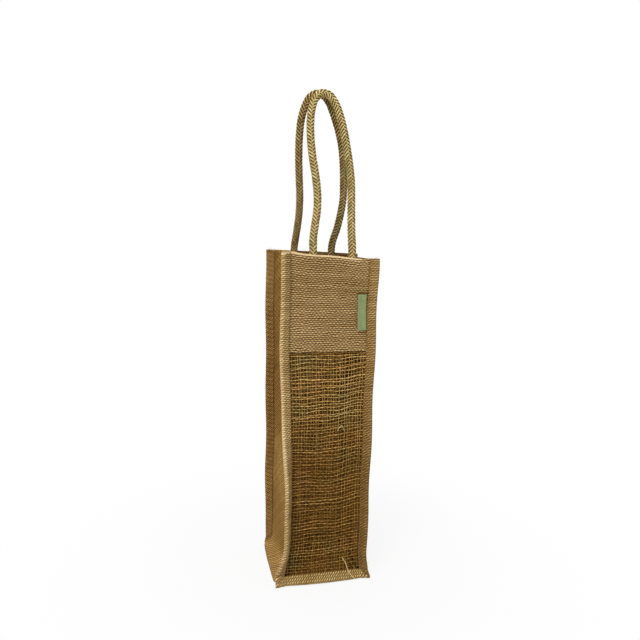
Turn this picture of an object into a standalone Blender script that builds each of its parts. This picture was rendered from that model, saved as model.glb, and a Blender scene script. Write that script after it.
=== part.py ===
"""Bottle gift bag: a tall jute bag with a netted front window and two rope handles.

The bag stands on the floor. X runs across its front, Y towards its back and Z up, in metres,
and the origin is on the floor under the middle of the bag.

Flat panels meet in seams whose allowances stand out of the four corners and along the two
bottom edges as flanges. Each flange holds one layer of the front or back panel, one layer of
the gusset or base, and a binding folded round both. Every cloth layer is laid out as a grid
of points on the middle surface of its flange, and is offset from that surface by its place
in the stack.
"""

import math

import bmesh
import bpy
import numpy as np
from mathutils import Matrix, Vector

# The bag as a whole, from seam to seam
BAG_HEIGHT = 0.350
SEAM_TO_SEAM_WIDTH = 0.0805
SEAM_TO_SEAM_DEPTH = 0.0805

# The cloth and how its layers lie
CLOTH_THICKNESS = 0.0009
LAYER_GAP = 0.0003

# The seam flanges and their bindings
FLANGE_WIDTH = 0.0102
BINDING_INSET = 0.0018
BASE_EDGE_BOW = 0.0016
CORNER_STEP = 0.003

# The header above the window and the turned-in rim
HEADER_HEIGHT = 0.100
RIM_HEM_DEPTH = 0.038
HEM_INSET = 0.0026

# The net in the window
NET_COLUMNS = 10
NET_ROWS = 24
NET_THREAD_WIDTH = 0.0017
NET_OVERLAP = 0.008
NET_STEP = 0.0014

# The gussets and the base
GUSSET_CREASE = 0.0015
FLARE_HEIGHT = 0.040
FLARE_REACH = 0.0092
FLARE_RAMP = 0.011
BASE_RAMP = 0.013

# The rope handles
ROPE_DIAMETER = 0.0076
HANDLE_TOP_GAP = 0.0012
HANDLE_END_LENGTH = 0.034
HANDLE_END_WIDTH = 0.0096
HANDLE_END_THICKNESS = 0.0046

# The label sewn on the header
LABEL_WIDTH = 0.0092
LABEL_LENGTH = 0.0385
LABEL_THICKNESS = 0.0007
LABEL_SIDE_INSET = 0.00105
LABEL_DROP = 0.040
LABEL_LIFT = 0.0022
LABEL_STEPS = 6

# How far the side flanges turn from the line of the front, and the bottom ones slope down
FLANGE_TURN_DEGREES = 45.0

# Where the grids have their rows and columns, as shares of the height or width they divide
FLARE_ROW_SHARES = (0.33, 0.66, 1.0)
BODY_ROW_SHARES = (0.16, 0.34, 0.52, 0.70, 0.85)
HEADER_ROW_SHARES = (0.25, 0.62)
PANEL_COLUMN_SHARES = (-0.62, -0.22, 0.22, 0.62)
GUSSET_COLUMN_SHARES = (-0.72, -0.36, 0.0, 0.36, 0.72)
BASE_COLUMN_SHARES = (-0.84, -0.6, -0.3, 0.0, 0.3, 0.6, 0.84)
CREASE_START_SHARE = 0.40
CREASE_FULL_SHARE = 0.75

# The handles' routes, as distances across the bag and up the plane of each loop from its hinge
FRONT_HANDLE_ROUTE = (
    (-0.0168, 0.0000), (-0.0165, 0.0100), (-0.0142, 0.0250), (-0.0120, 0.0380),
    (-0.0111, 0.0500), (-0.0114, 0.0620), (-0.0129, 0.0770), (-0.0150, 0.0920),
    (-0.0165, 0.1090), (-0.0167, 0.1260), (-0.0150, 0.1420), (-0.0108, 0.1543),
    (-0.0045, 0.1601), (0.0032, 0.1590), (0.0099, 0.1505), (0.0147, 0.1373),
    (0.0182, 0.1220), (0.0209, 0.1050), (0.0233, 0.0860), (0.0245, 0.0680),
    (0.0242, 0.0500), (0.0237, 0.0310), (0.0235, 0.0130), (0.0237, 0.0000),
)
BACK_HANDLE_ROUTE = (
    (-0.0213, 0.0000), (-0.0196, 0.0110), (-0.0184, 0.0230), (-0.0180, 0.0360),
    (-0.0192, 0.0560), (-0.0212, 0.0780), (-0.0228, 0.1010), (-0.0231, 0.1210),
    (-0.0219, 0.1370), (-0.0187, 0.1488), (-0.0141, 0.1575), (-0.0078, 0.1613),
    (-0.0006, 0.1602), (0.0058, 0.1543), (0.0114, 0.1437), (0.0163, 0.1325),
    (0.0208, 0.1200), (0.0244, 0.1060), (0.0270, 0.0890), (0.0288, 0.0700),
    (0.0295, 0.0540), (0.0281, 0.0390), (0.0250, 0.0210), (0.0216, 0.0085),
    (0.0205, 0.0000),
)
ROPE_SIDE_RESOLUTION = 2
ROPE_END_STEPS = 3
ROPE_END_SIDES = 12
ROPE_POINTS_PER_SPAN = 2

# How near a doubled corner counts as one, as a share of a layer gap, and how nearly flat a fold
# may be before its two faces count as one when a surface is offset
WELD_SHARE = 0.02
FLAT_FOLD_SHARE = 0.15

# How sharply a gusset's flare dies away upwards
FLARE_POWER = 1.5

# Colours and roughness
JUTE = (0.38, 0.24, 0.105)
JUTE_DARK = (0.30, 0.18, 0.075)
JUTE_LIGHT = (0.45, 0.30, 0.13)
NET_TWINE = (0.36, 0.23, 0.10)
ROPE = (0.42, 0.33, 0.12)
LABEL_GREEN = (0.32, 0.47, 0.25)
CLOTH_ROUGHNESS = 0.9
LABEL_ROUGHNESS = 0.7

# Derived places
HALF_WIDTH = SEAM_TO_SEAM_WIDTH / 2
HALF_DEPTH = SEAM_TO_SEAM_DEPTH / 2
FLANGE_TURN = math.radians(FLANGE_TURN_DEGREES)
FLANGE_RUN = FLANGE_WIDTH * math.cos(FLANGE_TURN)
FLANGE_DROP = FLANGE_WIDTH * math.sin(FLANGE_TURN)
LAYER_INNER = LAYER_GAP / 2
LAYER_OUTER = LAYER_INNER + CLOTH_THICKNESS
BINDING_INNER = LAYER_OUTER + LAYER_GAP
BINDING_OUTER = BINDING_INNER + CLOTH_THICKNESS
WRAP_INNER = LAYER_GAP
WRAP_OUTER = WRAP_INNER + CLOTH_THICKNESS
FLOOR_LEVEL = LAYER_OUTER
TIP_LEVEL = BINDING_OUTER * math.cos(FLANGE_TURN) + WRAP_OUTER * math.sin(FLANGE_TURN)
BASE_SEAM_HEIGHT = TIP_LEVEL + FLANGE_DROP
WINDOW_TOP = BAG_HEIGHT - HEADER_HEIGHT
HEM_EDGE = BAG_HEIGHT - RIM_HEM_DEPTH
ROPE_RADIUS = ROPE_DIAMETER / 2
HINGE_HEIGHT = BAG_HEIGHT + LAYER_GAP + LAYER_GAP + ROPE_RADIUS
HINGE_OFFSET = HALF_DEPTH - LAYER_OUTER - LAYER_GAP - HANDLE_END_THICKNESS / 2
HANDLE_TOP_OFFSET = ROPE_RADIUS + HANDLE_TOP_GAP / 2
LABEL_END = HALF_WIDTH - LABEL_SIDE_INSET


def remove_existing_objects():
    """Empty the scene that Blender starts with."""
    for existing in list(bpy.data.objects):
        bpy.data.objects.remove(existing, do_unlink=True)


def make_material(name, colour, roughness):
    """Return a Principled material of one plain colour."""
    material = bpy.data.materials.new(name)
    material.use_nodes = True
    shader = material.node_tree.nodes["Principled BSDF"]
    shader.inputs["Base Color"].default_value = (*colour, 1.0)
    shader.inputs["Roughness"].default_value = roughness
    shader.inputs["Metallic"].default_value = 0.0
    return material


def dress(thing, colour, roughness=CLOTH_ROUGHNESS):
    """Give an object its own material."""
    thing.data.materials.append(make_material(thing.name + "_finish", colour, roughness))
    return thing


def flange_reach(side_x, side_y):
    """Return the run from a corner's seam to the tip of its flange."""
    return np.array((side_x * FLANGE_RUN, side_y * FLANGE_DROP, 0.0))


def base_flange_reach(side_y, across):
    """Return the run from a bottom seam to the tip of its flange, which bows in mid length."""
    bow = BASE_EDGE_BOW * (1.0 - (across / HALF_WIDTH) ** 2)
    return np.array((0.0, side_y * (FLANGE_DROP + bow), -FLANGE_DROP))


def corner_tip_reach(side_x, side_y):
    """Return the run from a corner of the bottom seam to the tip of the mitred flanges."""
    return np.array((side_x * FLANGE_RUN, side_y * FLANGE_DROP, -FLANGE_DROP))


def panel_point(side_y, across, up):
    """Return a point on the middle surface of the front or back panel with its flanges.

    across runs past the side seams into the side flanges, and up runs below zero, the level
    of the bottom seam, into the bottom flange.
    """
    inside = max(-HALF_WIDTH, min(HALF_WIDTH, across))
    side_x = 1.0 if across > 0 else -1.0
    side_share = (abs(across) - abs(inside)) / FLANGE_WIDTH
    base_share = max(0.0, -up) / FLANGE_WIDTH
    height = BASE_SEAM_HEIGHT + max(0.0, up)
    side = flange_reach(side_x, side_y)
    base = base_flange_reach(side_y, inside)
    mitre = corner_tip_reach(side_x, side_y) - side - base
    seam = np.array((inside, side_y * HALF_DEPTH, height))
    return seam + side_share * side + base_share * base + side_share * base_share * mitre


def gusset_inset(along, height):
    """Return how far a gusset lies outside the line of its seams."""
    crease_start = CREASE_START_SHARE * BAG_HEIGHT
    crease_full = CREASE_FULL_SHARE * BAG_HEIGHT
    rise = (height - crease_start) / (crease_full - crease_start)
    crease = GUSSET_CREASE * max(0.0, min(1.0, rise)) * (1.0 - abs(along) / HALF_DEPTH)
    drop = max(0.0, 1.0 - height / FLARE_HEIGHT)
    ramp = min(1.0, (HALF_DEPTH - abs(along)) / FLARE_RAMP)
    return FLARE_REACH * drop ** FLARE_POWER * ramp - crease


def gusset_row(side_x, height, columns):
    """Return the points across one gusset at one height, from front tip to back tip."""
    row = []
    for along, is_tip in columns:
        side_y = 1.0 if along > 0 else -1.0
        outward = HALF_WIDTH + gusset_inset(along, height)
        point = np.array((side_x * outward, along, height))
        if is_tip:
            point = np.array((side_x * HALF_WIDTH, along, height))
            point = point + flange_reach(side_x, side_y)
        row.append(point)
    return row


def base_level(along):
    """Return the level of the base, which rises to the bottom seams at front and back."""
    rise = max(0.0, 1.0 - (HALF_DEPTH - abs(along)) / BASE_RAMP)
    return FLOOR_LEVEL + (BASE_SEAM_HEIGHT - FLOOR_LEVEL) * rise


def fold_row(side_x, columns):
    """Return the points along the fold between a gusset and the base."""
    row = []
    for along, is_tip in columns:
        side_y = 1.0 if along > 0 else -1.0
        ramp = min(1.0, (HALF_DEPTH - abs(along)) / FLARE_RAMP)
        outward = HALF_WIDTH + FLARE_REACH * ramp
        point = np.array((side_x * outward, along, base_level(along)))
        if is_tip:
            point = point + corner_tip_reach(side_x, side_y)
        row.append(point)
    return row


def base_row(across, columns):
    """Return the points across the base, from front tip to back tip."""
    row = []
    for along, is_tip in columns:
        side_y = 1.0 if along > 0 else -1.0
        point = np.array((across, along, base_level(along)))
        if is_tip:
            point = point + base_flange_reach(side_y, across)
        row.append(point)
    return row


def split_cells(grid, mitres=()):
    """Split each cell of a grid along its shorter diagonal, or along a named mitre."""
    rows, columns = grid.shape[:2]
    rising = np.zeros((rows - 1, columns - 1), dtype=bool)
    for row in range(rows - 1):
        for column in range(columns - 1):
            straight = np.linalg.norm(grid[row, column] - grid[row + 1, column + 1])
            crossed = np.linalg.norm(grid[row, column + 1] - grid[row + 1, column])
            rising[row, column] = crossed < straight
    for row, column, crossed_mitre in mitres:
        rising[row, column] = crossed_mitre
    return rising


def cell_triangles(row, column, rising):
    """Return the two triangles of one cell as grid places."""
    a = (row, column)
    b = (row, column + 1)
    c = (row + 1, column + 1)
    d = (row + 1, column)
    if rising:
        return (a, b, d), (b, c, d)
    return (a, b, c), (a, c, d)


def offset_directions(grid, rising, outward_cell, outward):
    """Return, for each grid point, the move that shifts every face around it by one unit."""
    rows, columns = grid.shape[:2]
    normals = {}
    for row in range(rows - 1):
        for column in range(columns - 1):
            for places in cell_triangles(row, column, rising[row, column]):
                first, second, third = (grid[place] for place in places)
                normal = np.cross(second - first, third - first)
                size = np.linalg.norm(normal)
                if size == 0.0:
                    continue
                for place in places:
                    normals.setdefault(place, []).append(normal / size)
                if (row, column) == outward_cell:
                    sample = normal / size
    sign = 1.0 if np.dot(sample, outward) > 0 else -1.0
    moves = np.zeros_like(grid)
    for place, around in normals.items():
        faces = sign * np.array(around)
        solution = np.linalg.pinv(faces, rcond=FLAT_FOLD_SHARE) @ np.ones(len(faces))
        moves[place] = solution
    return moves


def mesh_object(name, corners, faces):
    """Make one closed mesh object, with its faces pointing out and nothing under the floor."""
    mesh = bpy.data.meshes.new(name)
    grounded = [(corner[0], corner[1], max(0.0, corner[2])) for corner in corners]
    mesh.from_pydata(grounded, [], faces)
    shape = bmesh.new()
    shape.from_mesh(mesh)
    bmesh.ops.remove_doubles(shape, verts=shape.verts, dist=LAYER_GAP * WELD_SHARE)
    bmesh.ops.recalc_face_normals(shape, faces=shape.faces)
    shape.to_mesh(mesh)
    shape.free()
    thing = bpy.data.objects.new(name, mesh)
    bpy.context.scene.collection.objects.link(thing)
    return thing


def sheet_solid(name, inner, outer, rising, filled=None):
    """Make a closed sheet between two grids, with openings where a cell isn't filled."""
    rows, columns = inner.shape[:2]
    if filled is None:
        filled = np.ones((rows - 1, columns - 1), dtype=bool)
    corners = []
    index = {}

    def corner(layer, place):
        key = (layer, place)
        if key not in index:
            index[key] = len(corners)
            corners.append((outer if layer else inner)[place])
        return index[key]

    def is_filled(row, column):
        inside = 0 <= row < rows - 1 and 0 <= column < columns - 1
        return inside and filled[row, column]

    faces = []
    for row in range(rows - 1):
        for column in range(columns - 1):
            if not filled[row, column]:
                continue
            for places in cell_triangles(row, column, rising[row, column]):
                faces.append([corner(1, place) for place in places])
                faces.append([corner(0, place) for place in reversed(places)])
            borders = (
                ((row, column), (row, column + 1), is_filled(row - 1, column)),
                ((row, column + 1), (row + 1, column + 1), is_filled(row, column + 1)),
                ((row + 1, column + 1), (row + 1, column), is_filled(row + 1, column)),
                ((row + 1, column), (row, column), is_filled(row, column - 1)),
            )
            for start, end, joined in borders:
                if not joined:
                    faces.append([corner(1, start), corner(0, start), corner(0, end)])
                    faces.append([corner(1, start), corner(0, end), corner(1, end)])
    return mesh_object(name, corners, faces)


def side_heights():
    """Return the heights of the rows between the bottom seam and the header's lower edge."""
    start = BASE_SEAM_HEIGHT + CORNER_STEP
    heights = [start]
    for share in FLARE_ROW_SHARES:
        heights.append(start + share * (FLARE_HEIGHT - start))
    for share in BODY_ROW_SHARES:
        heights.append(FLARE_HEIGHT + share * (WINDOW_TOP - FLARE_HEIGHT))
    return heights


def header_heights():
    """Return the heights of the rows from the header's lower edge to just under the rim."""
    heights = [WINDOW_TOP]
    for share in HEADER_ROW_SHARES:
        heights.append(WINDOW_TOP + share * (HEM_EDGE - WINDOW_TOP))
    return heights + [HEM_EDGE, BAG_HEIGHT - CLOTH_THICKNESS, BAG_HEIGHT]


def panel_columns():
    """Return the places of the front and back panels' grid columns."""
    inner = HALF_WIDTH - HEM_INSET
    middle = [share * inner for share in PANEL_COLUMN_SHARES]
    tip = HALF_WIDTH + FLANGE_WIDTH
    return [-tip, -HALF_WIDTH, -inner, *middle, inner, HALF_WIDTH, tip]


def strip_columns(shares):
    """Return the grid columns of a gusset or base: each place, and whether it is a tip."""
    inner = HALF_DEPTH - HEM_INSET
    middle = [(share * inner, False) for share in shares]
    start = [(-HALF_DEPTH, True), (-HALF_DEPTH, False), (-inner, False)]
    end = [(inner, False), (HALF_DEPTH, False), (HALF_DEPTH, True)]
    return start + middle + end


def panel_grid(side_y, columns, heights, with_base_flange):
    """Return a panel's middle surface, and the cells that its mitres cross."""
    ups = [height - BASE_SEAM_HEIGHT for height in heights]
    if with_base_flange:
        ups = [-FLANGE_WIDTH, *ups]
    grid = np.array([[panel_point(side_y, across, up) for across in columns] for up in ups])
    mitres = ()
    if with_base_flange:
        mitres = ((0, 0, False), (0, len(columns) - 2, True))
    return grid, mitres


def hemmed_panel(name, side_y, heights, with_base_flange):
    """Make a panel whose rim is turned down inside as a hem."""
    columns = panel_columns()
    grid, mitres = panel_grid(side_y, columns, heights, with_base_flange)
    rising = split_cells(grid, mitres)
    middle = (grid.shape[0] // 2, grid.shape[1] // 2)
    moves = offset_directions(grid, rising, middle, (0.0, side_y, 0.0))
    return hemmed_sheet(name, grid, moves, rising)


def hemmed_sheet(name, grid, moves, rising):
    """Make a sheet whose top row is turned over and runs down inside, clear of the flanges.

    The grid's last two rows are the rim and the level one cloth below it, and the row under
    them is the level of the hem's raw edge.
    """
    under_rim = grid[-2] + LAYER_INNER * moves[-2]
    inner = np.concatenate((
        grid[:-2] + LAYER_INNER * moves[:-2],
        under_rim[None],
        (grid[-2] - LAYER_INNER * moves[-2])[None],
        (grid[-3] - LAYER_INNER * moves[-3])[None],
    ))
    outer = np.concatenate((
        grid[:-2] + LAYER_OUTER * moves[:-2],
        (grid[-1] + LAYER_OUTER * moves[-1])[None],
        (grid[-1] - LAYER_OUTER * moves[-1])[None],
        (grid[-3] - LAYER_OUTER * moves[-3])[None],
    ))
    rows, columns = inner.shape[:2]
    filled = np.ones((rows - 1, columns - 1), dtype=bool)
    filled[-2:, :2] = False
    filled[-2:, -2:] = False
    turned = np.concatenate((rising[:-1], np.zeros((2, columns - 1), dtype=bool)))
    return sheet_solid(name, inner, outer, turned, filled)


def net_lines(start, end, gaps):
    """Return the edges of evenly spaced threads, with a thread at either end."""
    pitch = (end - start - NET_THREAD_WIDTH) / gaps
    lines = []
    for thread in range(gaps + 1):
        edge = start + thread * pitch
        lines += [edge, edge + NET_THREAD_WIDTH]
    return lines


def window_net():
    """Make the net: threads around open cells, with margins that run into the flanges."""
    edge = HALF_WIDTH - HEM_INSET
    tip = HALF_WIDTH + FLANGE_WIDTH
    columns = [-tip, -HALF_WIDTH, *net_lines(-edge, edge, NET_COLUMNS), HALF_WIDTH, tip]
    top = WINDOW_TOP - LAYER_GAP - NET_STEP
    heights = [BASE_SEAM_HEIGHT, *net_lines(BASE_SEAM_HEIGHT + HEM_INSET, top, NET_ROWS)]
    heights += [WINDOW_TOP - LAYER_GAP, WINDOW_TOP + NET_OVERLAP]
    grid, mitres = panel_grid(-1.0, columns, heights, True)
    rising = split_cells(grid, mitres)
    middle = (grid.shape[0] // 2, grid.shape[1] // 2)
    moves = offset_directions(grid, rising, middle, (0.0, -1.0, 0.0))
    inner = grid + LAYER_INNER * moves
    outer = grid + LAYER_OUTER * moves
    inner[-2:] = grid[-2:] - LAYER_OUTER * moves[-2:]
    outer[-2:] = grid[-2:] - LAYER_INNER * moves[-2:]
    filled = np.ones(rising.shape, dtype=bool)
    first_gap = 3
    past_rows = first_gap + 2 * NET_ROWS
    past_columns = first_gap + 2 * NET_COLUMNS
    filled[first_gap:past_rows:2, first_gap:past_columns:2] = False
    filled[-2:, :2] = False
    filled[-2:, -2:] = False
    return sheet_solid("window_net", inner, outer, rising, filled)


def strip_surface():
    """Return the middle surface of gusset, base and gusset, and its offset directions.

    The rows run down from the left rim to the left fold, across the base to the right fold,
    and up to the right rim. The last value is the number of rows above a fold.
    """
    gusset_columns = strip_columns(GUSSET_COLUMN_SHARES)
    heights = side_heights() + header_heights()
    left = [gusset_row(-1.0, height, gusset_columns) for height in reversed(heights)]
    right = [gusset_row(1.0, height, gusset_columns) for height in heights]
    inner = HALF_WIDTH - CORNER_STEP
    places = [-inner, *(share * inner for share in BASE_COLUMN_SHARES), inner]
    base = [base_row(across, gusset_columns) for across in places]
    left_fold = [fold_row(-1.0, gusset_columns)]
    right_fold = [fold_row(1.0, gusset_columns)]
    grid = np.array(left + left_fold + base + right_fold + right)
    rising = split_cells(grid)
    middle = (len(left) + 1 + len(base) // 2, grid.shape[1] // 2)
    moves = offset_directions(grid, rising, middle, (0.0, 0.0, -1.0))
    return grid, rising, moves, len(left)


def draw_back(grid, edge, neighbour):
    """Pull an edge row of a grid back from a fold by one layer gap."""
    run = grid[neighbour] - grid[edge]
    lengths = np.linalg.norm(run, axis=1, keepdims=True)
    grid[edge] = grid[edge] + run * (LAYER_GAP / lengths)


def gussets_and_base(strip):
    """Make the two gussets with their turned-in rims, and the base between their folds."""
    grid, rising, moves, fold = strip
    pieces = []
    for name, flip in (("left_gusset", False), ("right_gusset", True)):
        side_grid = grid[::-1] if flip else grid
        side_moves = moves[::-1] if flip else moves
        side_rising = ~rising[::-1] if flip else rising
        part = side_grid[:fold + 1][::-1].copy()
        part_moves = side_moves[:fold + 1][::-1].copy()
        part_rising = ~side_rising[:fold][::-1]
        draw_back(part, 0, 1)
        pieces.append(hemmed_sheet(name, part, part_moves, part_rising))
    base = grid[fold:len(grid) - fold].copy()
    base_moves = moves[fold:len(grid) - fold].copy()
    draw_back(base, 0, 1)
    draw_back(base, -1, -2)
    base_rising = rising[fold:len(grid) - fold - 1]
    inner = base + LAYER_INNER * base_moves
    outer = base + LAYER_OUTER * base_moves
    pieces.append(sheet_solid("base_panel", inner, outer, base_rising))
    return pieces


def binding(name, stations):
    """Make a strip of binding folded round a flange.

    Each station gives the tip, the seams seen from the panel's side and from the gusset's
    side, and the offset directions of those two sides.
    """
    sections = []
    for tip, panel_seam, strip_seam, panel_move, strip_move in stations:
        inset = BINDING_INSET / FLANGE_WIDTH
        panel_edge = panel_seam + (tip - panel_seam) * inset
        strip_edge = strip_seam + (tip - strip_seam) * inset
        beyond = (tip - panel_seam) / FLANGE_WIDTH
        inner_tip = tip + WRAP_INNER * beyond
        outer_tip = tip + WRAP_OUTER * beyond
        sections.append([
            panel_edge + BINDING_OUTER * panel_move,
            outer_tip + BINDING_OUTER * panel_move,
            outer_tip + BINDING_OUTER * strip_move,
            strip_edge + BINDING_OUTER * strip_move,
            strip_edge + BINDING_INNER * strip_move,
            inner_tip + BINDING_INNER * strip_move,
            inner_tip + BINDING_INNER * panel_move,
            panel_edge + BINDING_INNER * panel_move,
        ])
    around = len(sections[0])
    corners = [point for section in sections for point in section]
    faces = []
    for row in range(len(sections) - 1):
        for side in range(around):
            after = (side + 1) % around
            low, high = row * around, (row + 1) * around
            faces.append([low + side, low + after, high + after])
            faces.append([low + side, high + after, high + side])
    for start in (0, (len(sections) - 1) * around):
        for one, two, three in ((0, 1, 6), (0, 6, 7), (1, 2, 5), (1, 5, 6), (2, 3, 4), (2, 4, 5)):
            faces.append([start + one, start + two, start + three])
    return mesh_object(name, corners, faces)


def drawn_station(station, neighbour):
    """Return a mitre's station pulled back towards its neighbour by half a layer gap."""
    run = neighbour[0] - station[0]
    shift = run * (LAYER_GAP / 2 / np.linalg.norm(run))
    return (*(point + shift for point in station[:3]), *station[3:])


def bindings(side_y, label, strip):
    """Make the binding down each side and along the bottom of the front or back panel."""
    grid, rising, moves, fold = strip
    tip_column, seam_column = (0, 1) if side_y < 0 else (-1, -2)
    heights = [BASE_SEAM_HEIGHT, *side_heights(), *header_heights()]
    base_places = [row[seam_column][0] for row in grid[fold + 1:len(grid) - fold - 1]]
    tip = HALF_WIDTH + FLANGE_WIDTH
    columns = [-tip, -HALF_WIDTH, *base_places, HALF_WIDTH, tip]
    panel, mitres = panel_grid(side_y, columns, heights, True)
    panel_rising = split_cells(panel, mitres)
    middle = (panel.shape[0] // 2, panel.shape[1] // 2)
    panel_moves = offset_directions(panel, panel_rising, middle, (0.0, side_y, 0.0))

    def side_stations(side_x):
        panel_tip, panel_seam = (0, 1) if side_x < 0 else (-1, -2)
        strip_row = fold if side_x < 0 else len(grid) - 1 - fold
        strip_step = -1 if side_x < 0 else 1
        stations = []
        for row in (0, *range(2, len(heights) + 1)):
            stations.append((
                panel[row, panel_tip],
                panel[max(row, 1), panel_seam],
                grid[strip_row, seam_column],
                panel_moves[row, panel_tip],
                moves[strip_row, tip_column],
            ))
            strip_row += strip_step
        stations[0] = drawn_station(stations[0], stations[1])
        return stations

    base_stations = []
    last = len(columns) - 1
    for strip_row, column in enumerate((0, *range(2, last - 1), last), start=fold):
        base_stations.append((
            panel[0, column],
            panel[1, max(1, min(last - 1, column))],
            grid[strip_row, seam_column],
            panel_moves[0, column],
            moves[strip_row, tip_column],
        ))
    base_stations[0] = drawn_station(base_stations[0], base_stations[1])
    base_stations[-1] = drawn_station(base_stations[-1], base_stations[-2])
    return [
        binding(label + "_binding_left", side_stations(-1.0)),
        binding(label + "_binding_right", side_stations(1.0)),
        binding(label + "_binding_base", base_stations),
    ]


def smooth_route(points, per_span):
    """Return points on a smooth curve through a route's own points."""
    padded = [2 * points[0] - points[1], *points, 2 * points[-1] - points[-2]]
    route = []
    for index in range(1, len(padded) - 2):
        before, start, end, after = padded[index - 1:index + 3]
        for step in range(per_span):
            share = step / per_span
            route.append(0.5 * (
                2 * start
                + share * (end - before)
                + share ** 2 * (2 * before - 5 * start + 4 * end - after)
                + share ** 3 * (3 * start - before - 3 * end + after)
            ))
    route.append(points[-1])
    return route


def rounded_ends(route):
    """Return a rope's points and radius shares, with a half ball beyond each end."""
    stations = []
    for step in range(ROPE_END_STEPS):
        turn = math.pi / 2 * (1.0 - (step + 1.0) / (ROPE_END_STEPS + 1.0))
        stations.append((math.sin(turn) * ROPE_RADIUS, math.cos(turn)))
    start_run = (route[0] - route[1]).normalized()
    end_run = (route[-1] - route[-2]).normalized()
    start = [(route[0] + start_run * reach, share) for reach, share in stations]
    end = [(route[-1] + end_run * reach, share) for reach, share in reversed(stations)]
    return start + [(point, 1.0) for point in route] + end


def rope_object(name, stations, origin):
    """Make a rope as a bevelled curve, with its origin at a given point."""
    curve = bpy.data.curves.new(name, "CURVE")
    curve.dimensions = "3D"
    curve.bevel_depth = ROPE_RADIUS
    curve.bevel_resolution = ROPE_SIDE_RESOLUTION
    curve.use_fill_caps = True
    curve.twist_mode = "MINIMUM"
    spline = curve.splines.new("POLY")
    spline.points.add(len(stations) - 1)
    for point, (place, radius_share) in zip(spline.points, stations):
        point.co = (*(place - origin), 1.0)
        point.radius = radius_share
    thing = bpy.data.objects.new(name, curve)
    thing.location = origin
    bpy.context.scene.collection.objects.link(thing)
    return thing


def handle(label, side_y, route):
    """Make a rope loop and its ends sewn inside.

    The loop leans inwards from its hinge line until its top is beside the other loop's.
    """
    origin = Vector((0.0, side_y * HINGE_OFFSET, HINGE_HEIGHT))
    top = max(up for across, up in route)
    lean = math.asin(side_y * (HINGE_OFFSET - HANDLE_TOP_OFFSET) / top)
    tilt = Matrix.Rotation(lean, 3, "X")
    points = [origin + tilt @ Vector((across, 0.0, up)) for across, up in route]
    smooth = smooth_route(points, ROPE_POINTS_PER_SPAN)
    loop = rope_object(label + "_handle", rounded_ends(smooth), origin)
    pieces = [loop]
    for side, across in (("left", route[0][0]), ("right", route[-1][0])):
        pieces.append(handle_end(label + "_handle_" + side + "_end", across, origin))
    return pieces


def handle_end(name, across, origin):
    """Make the flattened end of a rope, sewn to the inside of the hem under its handle."""
    top = HINGE_HEIGHT - ROPE_RADIUS - LAYER_GAP
    mesh = bpy.data.meshes.new(name)
    shape = bmesh.new()
    bmesh.ops.create_cone(
        shape, cap_ends=True, segments=ROPE_END_SIDES,
        radius1=1.0, radius2=1.0, depth=1.0,
        matrix=Matrix.Diagonal((
            HANDLE_END_WIDTH / 2, HANDLE_END_THICKNESS / 2, HANDLE_END_LENGTH, 1.0,
        )),
    )
    shape.to_mesh(mesh)
    shape.free()
    thing = bpy.data.objects.new(name, mesh)
    thing.location = (across, origin.y, top - HANDLE_END_LENGTH / 2)
    bpy.context.scene.collection.objects.link(thing)
    return thing


def header_label():
    """Make the folded label that hangs on the header, sewn at its top."""
    top = BAG_HEIGHT - LABEL_DROP
    surface = -HALF_DEPTH - LAYER_OUTER - LAYER_GAP
    rows = []
    for step in range(LABEL_STEPS + 1):
        share = step / LABEL_STEPS
        level = top - LABEL_LENGTH * share
        forward = surface - LABEL_LIFT * share * share
        rows.append([
            np.array((LABEL_END - LABEL_WIDTH, forward, level)),
            np.array((LABEL_END, forward, level)),
        ])
    inner = np.array(rows)
    outer = inner - np.array((0.0, LABEL_THICKNESS, 0.0))
    return sheet_solid("label", inner, outer, split_cells(inner))


def main():
    """Build every piece of the bag."""
    remove_existing_objects()
    strip = strip_surface()
    dress(hemmed_panel("front_header", -1.0, header_heights(), False), JUTE)
    dress(window_net(), NET_TWINE)
    whole = [BASE_SEAM_HEIGHT, *side_heights(), *header_heights()]
    dress(hemmed_panel("back_panel", 1.0, whole, True), JUTE)
    for piece in gussets_and_base(strip):
        dress(piece, JUTE_DARK)
    for label, side_y in (("front", -1.0), ("back", 1.0)):
        for piece in bindings(side_y, label, strip):
            dress(piece, JUTE_LIGHT)
    for label, side_y, route in (
        ("front", -1.0, FRONT_HANDLE_ROUTE),
        ("back", 1.0, BACK_HANDLE_ROUTE),
    ):
        for piece in handle(label, side_y, route):
            dress(piece, ROPE)
    dress(header_label(), LABEL_GREEN, LABEL_ROUGHNESS)


main()
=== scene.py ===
"""A bottle gift bag of woven jute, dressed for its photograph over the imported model.

The cloth is laid out as fine grids whose points fall on the crossings of the threads, so that
the weave stands up from the surface. The net, the rope strands, the stitches and the loose
fibres are swept or scattered by Geometry Nodes. Everything is in metres in the model's frame:
X across the front, Y towards the back and Z up from the floor.
"""

import logging
import math
from dataclasses import dataclass, field
from enum import Enum

import bpy
import numpy as np
from mathutils import Matrix, Vector


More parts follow.
